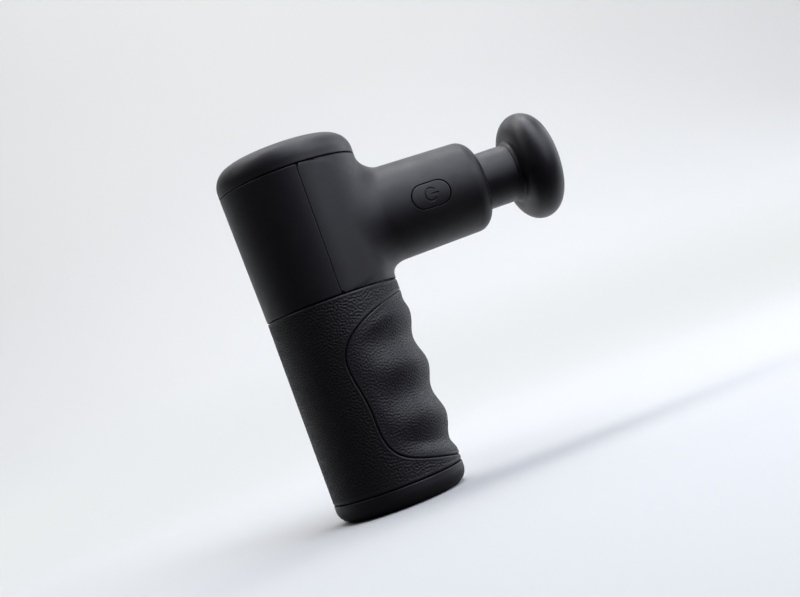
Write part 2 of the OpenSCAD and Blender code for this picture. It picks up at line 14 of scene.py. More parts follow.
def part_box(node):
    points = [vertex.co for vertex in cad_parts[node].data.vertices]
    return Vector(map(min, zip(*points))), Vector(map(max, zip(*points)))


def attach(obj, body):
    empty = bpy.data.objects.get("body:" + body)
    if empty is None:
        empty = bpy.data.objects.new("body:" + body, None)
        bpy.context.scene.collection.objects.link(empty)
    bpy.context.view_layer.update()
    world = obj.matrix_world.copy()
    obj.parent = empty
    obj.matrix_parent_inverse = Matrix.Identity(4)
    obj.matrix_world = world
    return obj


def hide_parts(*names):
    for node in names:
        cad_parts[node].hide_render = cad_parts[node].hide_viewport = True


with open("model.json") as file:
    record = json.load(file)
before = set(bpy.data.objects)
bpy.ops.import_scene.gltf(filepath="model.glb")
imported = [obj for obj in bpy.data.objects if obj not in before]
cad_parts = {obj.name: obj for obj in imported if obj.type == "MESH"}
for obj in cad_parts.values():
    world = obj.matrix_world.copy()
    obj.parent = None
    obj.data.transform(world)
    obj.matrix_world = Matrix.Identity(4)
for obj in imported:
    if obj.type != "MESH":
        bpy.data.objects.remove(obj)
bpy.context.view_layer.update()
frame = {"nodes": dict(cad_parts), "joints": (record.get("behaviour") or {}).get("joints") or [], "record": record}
MM = 0.001


# ---- sizes, taken from the frame ----

def box(node):
    """The lowest and highest corners of a CAD node, in millimetres."""
    low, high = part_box(node)
    return np.array(low) / MM, np.array(high) / MM


def joint(name):
    return next(j for j in frame["joints"] if j["name"] == name)


CAP_HIGH = box("top_cap")[1]
FRONT_HIGH = box("front_housing")[1]
REAR_LOW, REAR_HIGH = box("rear_housing")
SLEEVE_LOW, SLEEVE_HIGH = box("grip_sleeve")
BASE_HIGH = box("bottom_cap")[1]
HEAD_LOW, HEAD_HIGH = box("massage_head")
PISTON_LOW, PISTON_HIGH = box("piston")
CORE_LOW, CORE_HIGH = box("head_core")
RING_LOW, RING_HIGH = box("head_ring")
BUTTON_LOW, BUTTON_HIGH = box("power_button")
PORT_LOW, PORT_HIGH = box("usb_port")

BARREL_Z = joint("rotor_spin")["pos_m"][2] / MM
TOP_R = CAP_HIGH[1]  # body radius at the top cap's seam
MID_R = SLEEVE_HIGH[1]  # body radius at the top of the grip
BASE_R = BASE_HIGH[1]  # body radius at the bottom cap's seam
HOUSING_Z = (REAR_LOW[2], REAR_HIGH[2])
GRIP_Z = (SLEEVE_LOW[2], SLEEVE_HIGH[2])
BARREL_END_X = FRONT_HIGH[0]
BARREL_EDGE_X = BARREL_END_X - 5.5  # where the barrel's taper ends and its rounded tip begins
BARREL_ROOT_R, BARREL_TIP_R = 16.8, 16.0
BARREL_ROOT_X = 20.0
BARREL_EDGE_R = 5.2  # rounding of the barrel's tip
FRONT_HOLE_R = 10.45  # the hole that the piston moves through
NECK_R = PISTON_HIGH[1]
SEAM_R = 0.32  # rounding of the moulded edges at the seams
PARTING_R = 0.14  # rounding at the parting line, between the upper shells
WALL = 1.7  # thickness of the shells
BORE_R, BORE_END_X = 14.5, 57.2  # the barrel's bore
GRIP_IN_R = 20.6  # inside of the sleeve and the pad


def body_r(z):
    """Radius of the upper housing at height z."""
    return MID_R + (TOP_R - MID_R) * (z - GRIP_Z[1]) / (HOUSING_Z[1] - GRIP_Z[1])


def grip_r(z):
    """Radius of the grip at height z."""
    return BASE_R + (MID_R - BASE_R) * (z - GRIP_Z[0]) / (GRIP_Z[1] - GRIP_Z[0])


def barrel_r(x):
    """Radius of the tapered barrel at x."""
    taper = (BARREL_ROOT_R - BARREL_TIP_R) * (BARREL_EDGE_X - x) / (BARREL_EDGE_X - BARREL_ROOT_X)
    return BARREL_TIP_R + taper


# ---- small numeric helpers ----

def smooth(low, high, x):
    """Rises smoothly from 0 at low to 1 at high."""
    t = np.clip((np.asarray(x, float) - low) / (high - low), 0, 1)
    return t * t * (3 - 2 * t)


def resample(points, count):
    """count points at equal steps of length along a polyline."""
    points = np.asarray(points, float)
    length = np.concatenate([[0], np.cumsum(np.linalg.norm(np.diff(points, axis=0), axis=1))])
    at = length[-1] * np.linspace(0, 1, count)
    return np.stack([np.interp(at, length, points[:, k]) for k in range(points.shape[1])], 1)


def bezier(a, b, c, d, count):
    """count points along a cubic curve from a to d, with handles b and c."""
    t = np.linspace(0, 1, count)[:, None]
    return ((1 - t) ** 3 * np.array(a, float) + 3 * t * (1 - t) ** 2 * np.array(b, float)
            + 3 * t * t * (1 - t) * np.array(c, float) + t ** 3 * np.array(d, float))


def rounded(corners, steps=8, support=0.25):
    """A polyline through (x, y, radius) corners, each rounded by an arc with a support point each side."""
    out = [np.array(corners[0][:2], float)]
    for before, here, after in zip(corners, corners[1:], corners[2:]):
        p, r = np.array(here[:2], float), here[2]
        u, v = np.array(before[:2]) - p, np.array(after[:2]) - p
        lu, lv = np.linalg.norm(u), np.linalg.norm(v)
        u, v = u / lu, v / lv
        half = math.acos(max(-1, min(1, float(u @ v)))) / 2
        cut = min(r / math.tan(half), 0.98 * lu, 0.98 * lv)
        r = cut * math.tan(half)
        centre = p + (u + v) / np.linalg.norm(u + v) * r / math.sin(half)
        if cut + support < 0.5 * lu:
            out.append(p + u * (cut + support))
        a, b = p + u * cut - centre, p + v * cut - centre
        sweep = math.pi - 2 * half
        for k in range(steps + 1):
            t = k / steps
            out.append(centre + (math.sin((1 - t) * sweep) * a + math.sin(t * sweep) * b) / math.sin(sweep))
        if cut + support < 0.5 * lv:
            out.append(p + v * (cut + support))
    out.append(np.array(corners[-1][:2], float))
    return np.array(out)


GRAIN_STEP = 0.1  # spacing of the grain field's samples
GRAIN_TILT = math.radians(-17)  # the strands run down toward the front
BAND_WIDTH = 0.24  # spread of the strands' widths, as a share of the period
# period, spread of the strands' direction in radians, and seed
STRANDS, FINE_STRANDS, PATCHES = (1.02, 1.15, 3), (0.7, 1.3, 5), (5.5, 1.2, 8)
FINE_SHARE, PATCH_SHARE = 0.4, 0.25
CREASE_LEVEL, CREASE_WIDTH = 0.2, 0.7  # where the noise turns from crease to strand, and how gently


def band_noise(shape, period, spread_angle, seed):
    """Repeating noise of one period, whose strands run along GRAIN_TILT, with unit deviation."""
    rows, columns = shape
    white = np.random.RandomState(seed).standard_normal(shape)
    kz = np.fft.fftfreq(rows, GRAIN_STEP)[:, None]
    ks = np.fft.fftfreq(columns, GRAIN_STEP)[None, :]
    across = -math.sin(GRAIN_TILT) * ks + math.cos(GRAIN_TILT) * kz
    along = math.cos(GRAIN_TILT) * ks + math.sin(GRAIN_TILT) * kz
    size = np.hypot(kz, ks) + 1e-9
    angle = np.arctan2(np.abs(along), np.abs(across))
    band = np.exp(-0.5 * ((size * period - 1) / BAND_WIDTH) ** 2 - 0.5 * (angle / spread_angle) ** 2)
    field = np.fft.ifft2(np.fft.fft2(white) * band).real
    return field / field.std()


def grain_field(around, height):
    """Height, from -1 to 0, of a moulded leather grain: rounded strands parted by narrow creases."""
    shape = (int(height / GRAIN_STEP), int(round(around / GRAIN_STEP)))
    strands = band_noise(shape, *STRANDS) + FINE_SHARE * band_noise(shape, *FINE_STRANDS)
    patch = 1 + PATCH_SHARE * band_noise(shape, *PATCHES)
    return -np.clip(0.5 - 0.5 * np.tanh((strands * patch + CREASE_LEVEL) / CREASE_WIDTH), 0, 1)


def sample(field, s, z, around):
    """The periodic grain field at arc length s and height z."""
    rows, columns = field.shape
    x = (s / around % 1.0) * columns
    y = np.clip(z / GRAIN_STEP, 0, rows - 1.001)
    i, j = y.astype(int), x.astype(int) % columns
    u, v = x - np.floor(x), y - i
    k = (j + 1) % columns
    low = field[i, j] * (1 - u) + field[i, k] * u
    high = field[i + 1, j] * (1 - u) + field[i + 1, k] * u
    return low * (1 - v) + high * v


# ---- mesh helpers ----

WELD_REACH = 0.0005


def changed(piece, change):
    """Applies a change to a piece's mesh."""
    work = bmesh.new()
    work.from_mesh(piece.data)
    change(work)
    work.to_mesh(piece.data)
    work.free()
    return piece


def weld(piece):
    """Joins the points of a piece that lie within WELD_REACH of each other."""
    reach = WELD_REACH * MM
    return changed(piece, lambda work: bmesh.ops.remove_doubles(work, verts=work.verts, dist=reach))


def face_out(piece):
    """Turns every face of a piece outward, judged by each connected part."""
    return changed(piece, lambda work: bmesh.ops.recalc_face_normals(work, faces=work.faces))


def add_object(name, data):
    """A new object in the scene."""
    thing = bpy.data.objects.new(name, data)
    bpy.context.scene.collection.objects.link(thing)
    return thing


def smooth_object(name, points, faces, material):
    """A smooth-shaded object from points in millimetres."""
    data = bpy.data.meshes.new(name)
    data.from_pydata((np.asarray(points, float) * MM).tolist(), [], faces)
    data.validate()
    data.polygons.foreach_set("use_smooth", [True] * len(data.polygons))
    data.materials.append(material)
    return add_object(name, data)


def mesh(name, points, faces, material, body, replaces):
    """A piece that rides on a body and replaces CAD nodes; loose points are dropped."""
    used = np.unique(np.concatenate([np.asarray(f) for f in faces]))
    renumber = np.zeros(len(points), int)
    renumber[used] = np.arange(len(used))
    faces = [renumber[list(f)].tolist() for f in faces]
    piece = smooth_object(name, np.asarray(points, float)[used], faces, material)
    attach(piece, body)
    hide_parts(*replaces)
    return piece


def grid_faces(rows, columns, closed=False, loop=False, skip=None, start=0):
    """Quads of a rows by columns grid of points; closed joins the last column to the first, and loop joins
    the last row to the first."""
    out = []
    for i in range(rows if loop else rows - 1):
        for j in range(columns if closed else columns - 1):
            if skip is None or not skip(i, j):
                a, b = start + i * columns, start + (i + 1) % rows * columns
                k = (j + 1) % columns
                out.append((a + j, a + k, b + k, b + j))
    return out


def circle(count):
    """count angles at equal steps round a full turn."""
    return np.linspace(0, 2 * math.pi, count, endpoint=False)


def quarter(count, r=1):
    """Steps of an edge of rounding r, as (distance from the edge, depth below the surface)."""
    return [(r * (1 - math.sin(a)), r * (1 - math.cos(a))) for a in np.linspace(0, math.pi / 2, count)]


def turned(profile, count, axis, loop=False):
    """Points and faces of a profile of (along, radius) turned round the body's (z) or barrel's (x) axis."""
    profile = np.asarray(profile, float)
    along = np.repeat(profile[:, 0], count)
    radius = np.repeat(profile[:, 1], count)
    a = np.tile(circle(count), len(profile))
    if axis == "z":
        points = np.stack([radius * np.cos(a), radius * np.sin(a), along], 1)
    else:
        points = np.stack([along, -radius * np.sin(a), BARREL_Z + radius * np.cos(a)], 1)
    return points, grid_faces(len(profile), count, closed=True, loop=loop)


def lathe(name, profile, axis, material, body, replaces, count=192, loop=False):
    """A turned solid. A profile ends on the axis, where it closes with a fan, or loops back to its start."""
    profile = np.asarray(profile, float)
    ends = [profile[0, 1] < 1e-6, profile[-1, 1] < 1e-6]
    middle = profile[int(ends[0]):len(profile) - int(ends[1])]
    points, faces = turned(middle, count, axis, loop)
    for end, ring in ((0, 0), (1, len(middle) - 1)):
        if ends[end]:
            along = profile[-end, 0]
            points = np.vstack([points, [(0, 0, along) if axis == "z" else (along, 0, BARREL_Z)]])
            faces += fan_faces(list(range(ring * count, ring * count + count)), len(points) - 1)
    return face_out(mesh(name, points, faces, material, body, replaces))


def ring_faces(first, second):
    """Quads between two rings of point numbers."""
    n = len(first)
    return [(first[k], first[(k + 1) % n], second[(k + 1) % n], second[k]) for k in range(n)]


def fan_faces(ring, tip):
    """Triangles from a ring of point numbers to one more point."""
    n = len(ring)
    return [(ring[k], ring[(k + 1) % n], tip) for k in range(n)]


def edge_inset(distance, r=SEAM_R):
    """How far a rounded edge lies below its surface, at a distance from the edge."""
    t = np.clip(r - np.asarray(distance, float), 0, r)
    return r - np.sqrt(r * r - t * t)


def edge_rows(r):
    """Distances from an edge of rounding r at which it is sampled."""
    return r * (1 - np.cos(np.linspace(0, math.pi / 2, 6)))


def edge_steps(low, high, count, r=SEAM_R):
    """Positions from low to high with rounded, turned-in edges, and how far in each one lies."""
    near = edge_rows(r)
    margin = 0.3
    middle = np.linspace(low + r + margin, high - r - margin, count)
    at = np.concatenate([low + near, middle, high - near[::-1]])
    inset = edge_inset(np.minimum(at - low, high - at), r)
    return np.concatenate([[low], at, [high]]), np.concatenate([[WALL], inset, [WALL]])


# ---- materials, whose noise scales and bump depths are per metre and in metres ----

NOISE_ROUGHNESS = 0.55
GLOSS_NOISE = (0.3, 0.7)  # noise values that take the least and the most roughness
TINT_FROM, TINT_TO = 0.25, 0.75  # noise values that take the dark and the light tone
GLOSS_SPREAD = 0.05  # how far the roughness strays either way
MOTTLE_SCALE, GLOSS_SCALE = 70.0, 190.0


def node_material(name):
    """A new material with its nodes, links and main shader."""
    material = bpy.data.materials.new(name)
    material.use_nodes = True
    nodes, links = material.node_tree.nodes, material.node_tree.links
    return material, nodes, links, nodes["Principled BSDF"]


def noise(nodes, links, coords, scale, detail=3.0):
    """Noise fixed to the object, from 0 to 1."""
    texture = nodes.new("ShaderNodeTexNoise")
    texture.inputs["Scale"].default_value = scale
    texture.inputs["Detail"].default_value = detail
    texture.inputs["Roughness"].default_value = NOISE_ROUGHNESS
    links.new(coords.outputs["Object"], texture.inputs["Vector"])
    return texture.outputs["Fac"]


def node_range(nodes, links, value, start, end, low, high, kind="LINEAR"):
    """Maps value from start..end to low..high."""
    remap = nodes.new("ShaderNodeMapRange")
    remap.interpolation_type = kind
    for key, number in (("From Min", start), ("From Max", end), ("To Min", low), ("To Max", high)):
        remap.inputs[key].default_value = number
    links.new(value, remap.inputs["Value"])
    return remap.outputs["Result"]


def tint(nodes, links, value, dark, light):
    """Turns a noise value into a tone between dark and light."""
    ramp = nodes.new("ShaderNodeValToRGB")
    for stop, at, tone in zip(ramp.color_ramp.elements, (TINT_FROM, TINT_TO), (dark, light)):
        stop.position = at
        stop.color = (*tone, 1)
    links.new(value, ramp.inputs["Fac"])
    return ramp.outputs["Color"]


def bump(nodes, links, shader, height, distance, under=None):
    """Gives a shader a bump of that depth, on top of another bump if one is given."""
    node = nodes.new("ShaderNodeBump")
    node.inputs["Distance"].default_value = distance
    links.new(height, node.inputs["Height"])
    if under is not None:
        links.new(under, node.inputs["Normal"])
    links.new(node.outputs["Normal"], shader.inputs["Normal"])
    return node.outputs["Normal"]


def moulded(name, dark, light, rough, grain=9000.0, depth=0.000012, metal=0.0):
    """A surface with mottled tone and gloss over a fine moulded or machined texture."""
    material, nodes, links, shader = node_material(name)
    coords = nodes.new("ShaderNodeTexCoord")
    mottle = noise(nodes, links, coords, MOTTLE_SCALE, 4.0)
    links.new(tint(nodes, links, mottle, dark, light), shader.inputs["Base Color"])
    gloss = noise(nodes, links, coords, GLOSS_SCALE, 5.0)
    gloss = node_range(nodes, links, gloss, *GLOSS_NOISE, rough - GLOSS_SPREAD, rough + GLOSS_SPREAD)
    links.new(gloss, shader.inputs["Roughness"])
    shader.inputs["Metallic"].default_value = metal
    bump(nodes, links, shader, noise(nodes, links, coords, grain, 2.0), depth)
    return material


def grain_and_crease_shade_material(name, dark, light, rough):
    """Black elastomer whose creases are duller than its crests, with painted shade that makes the creases a little
    darker.
    """
    material, nodes, links, shader = node_material(name)
    coords = nodes.new("ShaderNodeTexCoord")
    height = nodes.new("ShaderNodeAttribute")
    height.attribute_name = "grain"
    # painted shade: the creases take the dark tone and the crests the light one
    links.new(tint(nodes, links, height.outputs["Fac"], dark, light), shader.inputs["Base Color"])
    crease_rough, crest_rough = rough + 0.14, rough - 0.04
    gloss = node_range(nodes, links, height.outputs["Fac"], 0, 1, crease_rough, crest_rough)
    links.new(gloss, shader.inputs["Roughness"])
    pores = bump(nodes, links, shader, noise(nodes, links, coords, 2600.0), 0.00003)
    bump(nodes, links, shader, noise(nodes, links, coords, 9000.0, 2.0), 0.00001, under=pores)
    return material


CHARCOAL = (0.0096, 0.0083, 0.0114), (0.0126, 0.0111, 0.0150)  # dark and light tone of the shells
SOFT_TOUCH = moulded("soft_touch", *CHARCOAL, 0.47)
HEAD_SATIN = moulded("head_satin", (0.0090, 0.0078, 0.0108), (0.0120, 0.0106, 0.0144), 0.42)
BUTTON_SATIN = moulded("button_satin", *CHARCOAL, 0.44)
# dark tone: the creases' painted shade; light tone: the crests' own colour
GRIP_RUBBER = grain_and_crease_shade_material("grip_rubber", (0.0066, 0.0057, 0.0076), (0.0132, 0.0115, 0.0152), 0.50)
PAD_RUBBER = grain_and_crease_shade_material("pad_rubber", (0.0074, 0.0064, 0.0086), (0.0142, 0.0124, 0.0162), 0.48)
SEAL_RUBBER = moulded("seal_rubber", (0.008, 0.008, 0.008), (0.012, 0.012, 0.012), 0.62)
WAXY_BLACK = moulded("waxy_black", (0.015, 0.015, 0.016), (0.024, 0.024, 0.026), 0.33)

# finishes of the carried-over CAD nodes, by the record's material slot:
# dark tone, light tone, roughness, bump scale, bump depth, and 1 for a metal
FINISHES = {
    "frame_plastic": ((0.03, 0.031, 0.033), (0.045, 0.047, 0.05), 0.5, 5000.0, 0.00002),
    "acetal": ((0.68, 0.66, 0.6), (0.78, 0.76, 0.7), 0.36, 4000.0, 0.00001),
    "seal": ((0.012, 0.012, 0.012), (0.022, 0.022, 0.023), 0.6, 6000.0, 0.00002),
    "ring": ((0.15, 0.022, 0.016), (0.2, 0.03, 0.02), 0.45, 6000.0, 0.00001),
    "piston": ((0.02, 0.02, 0.022), (0.03, 0.031, 0.034), 0.33, 5000.0, 0.00001),
    "aluminium": ((0.62, 0.63, 0.65), (0.76, 0.77, 0.79), 0.34, 2500.0, 0.00001, 1.0),
    "steel": ((0.5, 0.51, 0.53), (0.62, 0.63, 0.65), 0.25, 3500.0, 0.000006, 1.0),
    "laminations": ((0.22, 0.23, 0.25), (0.34, 0.35, 0.37), 0.45, 3000.0, 0.00003, 1.0),
    "magnet": ((0.3, 0.3, 0.31), (0.42, 0.42, 0.43), 0.3, 3000.0, 0.00001, 1.0),
    "copper": ((0.42, 0.16, 0.06), (0.62, 0.28, 0.12), 0.32, 1400.0, 0.00006, 1.0),
    "circuit_board": ((0.006, 0.07, 0.028), (0.012, 0.12, 0.05), 0.35, 1500.0, 0.00003),
    "components": ((0.018, 0.018, 0.019), (0.035, 0.035, 0.037), 0.5, 5000.0, 0.00001),
    "cell_wrap": ((0.015, 0.1, 0.32), (0.03, 0.15, 0.42), 0.28, 900.0, 0.00003),
    "tray": ((0.6, 0.6, 0.57), (0.72, 0.72, 0.69), 0.42, 4000.0, 0.00002),
    "lead_red": ((0.3, 0.012, 0.01), (0.45, 0.02, 0.015), 0.4, 3000.0, 0.00002),
    "lead_yellow": ((0.5, 0.32, 0.02), (0.66, 0.43, 0.04), 0.4, 3000.0, 0.00002),
    "shell": (*CHARCOAL, 0.47, 9000.0, 0.000012),
}


def finish_cad_nodes():
    """Gives each CAD node the finish of its slot, and the shells' finish where the slot has none."""
    slots = {row["node"]: row["material_slot"] for row in frame["record"]["subparts"]}
    made = {}
    for name, node in frame["nodes"].items():
        slot = slots[name] if slots[name] in FINISHES else "shell"
        if slot not in made:
            made[slot] = moulded("cad_" + slot, *FINISHES[slot])
        node.data.materials.clear()
        node.data.materials.append(made[slot])


# ---- upper housing ----

BUTTON_X = (BUTTON_LOW[0] + BUTTON_HIGH[0]) / 2
BUTTON_LIP = 0.8  # the CAD button's hidden flange reaches this far past its outline
BUTTON_L = BUTTON_HIGH[0] - BUTTON_LOW[0] - 2 * BUTTON_LIP
BUTTON_H = BUTTON_HIGH[2] - BUTTON_LOW[2] - 2 * BUTTON_LIP
BUTTON_GAP = 0.28
HOLE_EDGE_R = 0.13  # rounding of the button's hole


def stadium_reach(along, across, flat, r):
    """Distance from a stadium's centre to its outline, for directions given by their parts along and across
    it. Half its straight length is flat, and its ends' radius is r."""
    along, across = np.abs(along), np.abs(across)
    straight = r / np.maximum(across, 1e-9)
    round_end = flat * along + np.sqrt(np.maximum(r * r - (flat * across) ** 2, 0))
    return np.where(straight * along <= flat, straight, round_end)


def button_reach(angle, grow):
    """Distance from the button's centre to its outline, grown by grow, in each direction."""
    return stadium_reach(np.cos(angle), np.sin(angle), (BUTTON_L - BUTTON_H) / 2, BUTTON_H / 2 + grow)


def barrel_side(x, s, r):
    """A point at radius r on the barrel's -Y side, s up round its surface from the middle line."""
    a = s / barrel_r(x)
    return np.stack([x, -r * np.cos(a), BARREL_Z + r * np.sin(a)], -1)


def on_barrel(x, s, inset=0.0):
    """A point of the barrel's surface, or one inset below it."""
    return barrel_side(x, s, barrel_r(x) - inset)


PARTING_X = 0.05  # half the gap at the parting line
PLAIN_X = BARREL_END_X - 6.1  # where the plain barrel begins
ROOT_X = 31.4  # where the plain barrel ends and its root begins
BLEND_BARREL = (6.4, 8.0)  # blend length along the barrel, at its top and its sides
BLEND_UP, BLEND_DOWN, BLEND_SIDE = 5.7, 4.4, 6.0
BLEND_FULL = (0.46, 0.6, 0.6)  # how far its handles reach to the corner: above, below, at the sides


def barrel_root(theta, length_rows, body_rows):
    """Points from the barrel, through its blend, over the body to the housing's edge, for one direction
    theta round the barrel (0 up, positive toward +Y)."""
    sin, cos = math.sin(theta), math.cos(theta)

    def on_body(r):
        z = BARREL_Z + r * cos
        return np.sqrt(np.maximum(body_r(z) ** 2 - (r * sin) ** 2, PARTING_X ** 2))

    x = BARREL_ROOT_X
    for _ in range(30):
        x = float(on_body(barrel_r(x)))
    corner = np.array([x, barrel_r(x)])
    r_edge = 1e9
    if abs(cos) > 1e-6:
        r_edge = ((HOUSING_Z[1] - BARREL_Z) if cos > 0 else (BARREL_Z - HOUSING_Z[0])) / abs(cos)
    if abs(sin) > 1e-6:
        r_side = TOP_R
        for _ in range(40):
            r_side = math.sqrt(body_r(BARREL_Z + r_side * cos) ** 2 - PARTING_X ** 2) / abs(sin)
        r_edge = min(r_edge, r_side)
    side = sin * sin
    reach_barrel = BLEND_BARREL[0] * (1 - side) + BLEND_BARREL[1] * side
    reach_body = (BLEND_UP if cos > 0 else BLEND_DOWN) * (1 - side) + BLEND_SIDE * side
    r = corner[1] + (r_edge - corner[1]) * np.sin(np.linspace(0, math.pi / 2, 400))
    path = np.stack([on_body(r), r], 1)
    run = np.concatenate([[0], np.cumsum(np.linalg.norm(np.diff(path, axis=0), axis=1))])
    reach_body = min(reach_body, 0.85 * run[-1])
    k = int(np.searchsorted(run, reach_body))
    land = path[k]
    tangent = path[min(k + 1, len(path) - 1)] - path[k - 1]
    tangent = tangent / np.linalg.norm(tangent)
    leave = np.array([corner[0] + reach_barrel, barrel_r(corner[0] + reach_barrel)])
    full = BLEND_FULL[0] if cos > 0 else BLEND_FULL[1]
    full = full * (1 - side) + BLEND_FULL[2] * side
    curve = bezier(leave, leave + (corner - leave) * full, land - tangent * reach_body * full, land, 60)
    first = resample(np.vstack([[ROOT_X, barrel_r(ROOT_X)], curve]), length_rows)
    rest = resample(path[k:], body_rows + 1)[1:]
    section = np.vstack([first, rest])
    return np.stack([section[:, 0], section[:, 1] * sin, BARREL_Z + section[:, 1] * cos], 1)


def front_section(theta, plain_x):
    """The front shell's closed section for one direction theta: from the barrel's tip over the body to the
    housing's edge, and back inside. Gives its points and the rows where plain_x starts outside and in."""
    sin, cos = math.sin(theta), math.cos(theta)
    end = rounded([(BORE_END_X, FRONT_HOLE_R, 0), (BARREL_END_X, FRONT_HOLE_R, SEAM_R),
                   (BARREL_END_X, BARREL_TIP_R + 0.02, BARREL_EDGE_R),
                   (BARREL_EDGE_X, BARREL_TIP_R, 0)], 14)
    plain = np.stack([plain_x, barrel_r(plain_x)], 1)
    barrel = np.vstack([end, plain])
    barrel = np.stack([barrel[:, 0], barrel[:, 1] * sin, BARREL_Z + barrel[:, 1] * cos], 1)
    root = barrel_root(theta, length_rows=34, body_rows=46)[1:]
    # the edge at the seams and at the parting line: a small rounding, then in through the wall
    last = root[-1]
    normal = np.array([last[0], last[1], 0.0])
    normal /= np.linalg.norm(normal)
    at_seam = min(abs(last[2] - HOUSING_Z[0]), abs(last[2] - HOUSING_Z[1])) < 1e-3
    outward = np.array([0, 0, np.sign(last[2] - BARREL_Z)]) if at_seam else np.array([-1.0, 0, 0])
    lip_r = SEAM_R if at_seam else PARTING_R
    lip = [last - outward * lip_r * along - normal * lip_r * down for along, down in quarter(6)]
    root[-1] = lip[0]
    root[-2] = root[-2] * 0.5 + (root[-3] + lip[0]) * 0.25
    # inside: the body's inner wall, then the barrel's bore
    inner_edge = last - normal * WALL
    r_edge = math.hypot(inner_edge[1], inner_edge[2] - BARREL_Z)
    r = np.linspace(r_edge, BORE_R, 9)[1:]
    z = BARREL_Z + r * cos
    x = np.sqrt(np.maximum((body_r(z) - WALL) ** 2 - (r * sin) ** 2, inner_edge[0] ** 2))
    inner = np.stack([x, r * sin, z], 1)
    lead = np.linspace(x[-1], plain_x[-1], 5)[1:-1]
    bore_x = np.concatenate([lead, plain_x[::-1], [BORE_END_X]])
    bore = bore_x[:, None] * [1, 0, 0] + [0, BORE_R * sin, BARREL_Z + BORE_R * cos]
    before = np.vstack([barrel, root, lip[1:], inner_edge[None], inner])
    return np.vstack([before, bore]), len(end), len(before) + len(lead)


def front_housing():
    """The front shell with the barrel, blended in one smooth surface, with the button's hole."""
    up = math.atan2(body_r(HOUSING_Z[1]), HOUSING_Z[1] - BARREL_Z)
    down = math.atan2(body_r(HOUSING_Z[0]), HOUSING_Z[0] - BARREL_Z)
    parts = [(0, up, 34), (up, down, 66), (down, 2 * math.pi - down, 60),
             (2 * math.pi - down, 2 * math.pi - up, 66), (2 * math.pi - up, 2 * math.pi, 34)]
    theta = np.concatenate([np.linspace(a, b, n, endpoint=False) for a, b, n in parts])
    count = len(theta)
    plain_x = np.linspace(PLAIN_X, ROOT_X, 48)
    sections = [front_section(t, plain_x) for t in theta]
    points = np.stack([part[0] for part in sections], 1)
    outer_start, bore_start = sections[0][1], sections[0][2]

    # the button's hole replaces a block of the plain barrel's grid, outside and inside
    margin_x, margin_s = 1.7, 2.0
    side = (theta - 1.5 * math.pi) * barrel_r(BUTTON_X)
    columns = np.where(np.abs(side) < BUTTON_H / 2 + margin_s)[0]
    inside = np.where(np.abs(plain_x - BUTTON_X) < BUTTON_L / 2 + margin_x)[0]
    j0, j1 = columns[0], columns[-1]
    k0, k1 = inside[0], inside[-1]
    blocks = [(outer_start + k0, outer_start + k1),
              (bore_start + len(plain_x) - 1 - k1, bore_start + len(plain_x) - 1 - k0)]
    faces = grid_faces(len(points), count, closed=True, loop=True,
                       skip=lambda i, j: j0 <= j < j1 and any(a <= i < b for a, b in blocks))
    flat = points.reshape(-1, 3)
    outside = block_ring(blocks[0][0], blocks[0][1], j0, j1, count)
    within = block_ring(blocks[1][1], blocks[1][0], j0, j1, count)
    x = flat[outside, 0]
    s = np.arctan2(flat[outside, 2] - BARREL_Z, -flat[outside, 1]) * barrel_r(x)
    angle = np.arctan2(s, x - BUTTON_X)
    hole = button_reach(angle, BUTTON_GAP)
    hx, hs = BUTTON_X + hole * np.cos(angle), hole * np.sin(angle)
    ox, os = x - hx, s - hs
    near = np.maximum(np.hypot(ox, os), 1e-6)
    rings = [on_barrel(hx + ox * t, hs + os * t) for t in (0.72, 0.5, 0.34, 0.22, 0.13)]
    for along, down in quarter(5, HOLE_EDGE_R):
        t = along / near
        rings.append(on_barrel(hx + ox * t, hs + os * t, down))
    rings += [barrel_side(hx + ox * t, hs + os * t, BORE_R) for t in (0, 0.4)]
    previous = list(outside)
    start = len(flat)
    for _ in rings:
        fresh = list(range(start, start + len(outside)))
        faces += ring_faces(previous, fresh)
        previous = fresh
        start += len(outside)
    faces += ring_faces(previous, list(within))
    piece = mesh("front_housing_shell", np.vstack([flat] + rings), faces, SOFT_TOUCH, "housing",
                 ["front_housing"])
    return face_out(piece)


def block_ring(i0, i1, j0, j1, count):
    """Point numbers round a block of a grid's rows i0 to i1 and columns j0 to j1."""
    step = 1 if i1 > i0 else -1
    ring = ([(i0, j) for j in range(j0, j1)] + [(i, j1) for i in range(i0, i1, step)]
            + [(i1, j) for j in range(j1, j0, -1)] + [(i, j0) for i in range(i1, i0, -step)])
    return np.array([i * count + j for i, j in ring])


def rear_housing():
    """The rear shell, from parting line to parting line, with its inner wall."""
    z, z_inset = edge_steps(*HOUSING_Z, 40)
    half = math.pi / 2 - PARTING_X / body_r(BARREL_Z)
    s, s_inset = edge_steps(-half * TOP_R, half * TOP_R, 110, PARTING_R)
    phi = math.pi + (s / TOP_R)[None, :]

    def skin(inset):
        r = body_r(z)[:, None] - inset
        rows = np.stack([r * np.cos(phi), r * np.sin(phi), np.broadcast_to(z[:, None], r.shape)], -1)
        return rows.reshape(-1, 3)

    outer = skin(np.maximum(z_inset[:, None], s_inset[None, :]))
    inner = skin(np.full((len(z), len(s)), WALL))
    faces = grid_faces(len(z), len(s))
    faces += grid_faces(len(z), len(s), start=len(outer))
    piece = mesh("rear_housing_shell", np.vstack([outer, inner]), faces, SOFT_TOUCH, "housing",
                 ["rear_housing"])
    return face_out(weld(piece))


CAP_GAP = 0.3  # open seam under the top cap


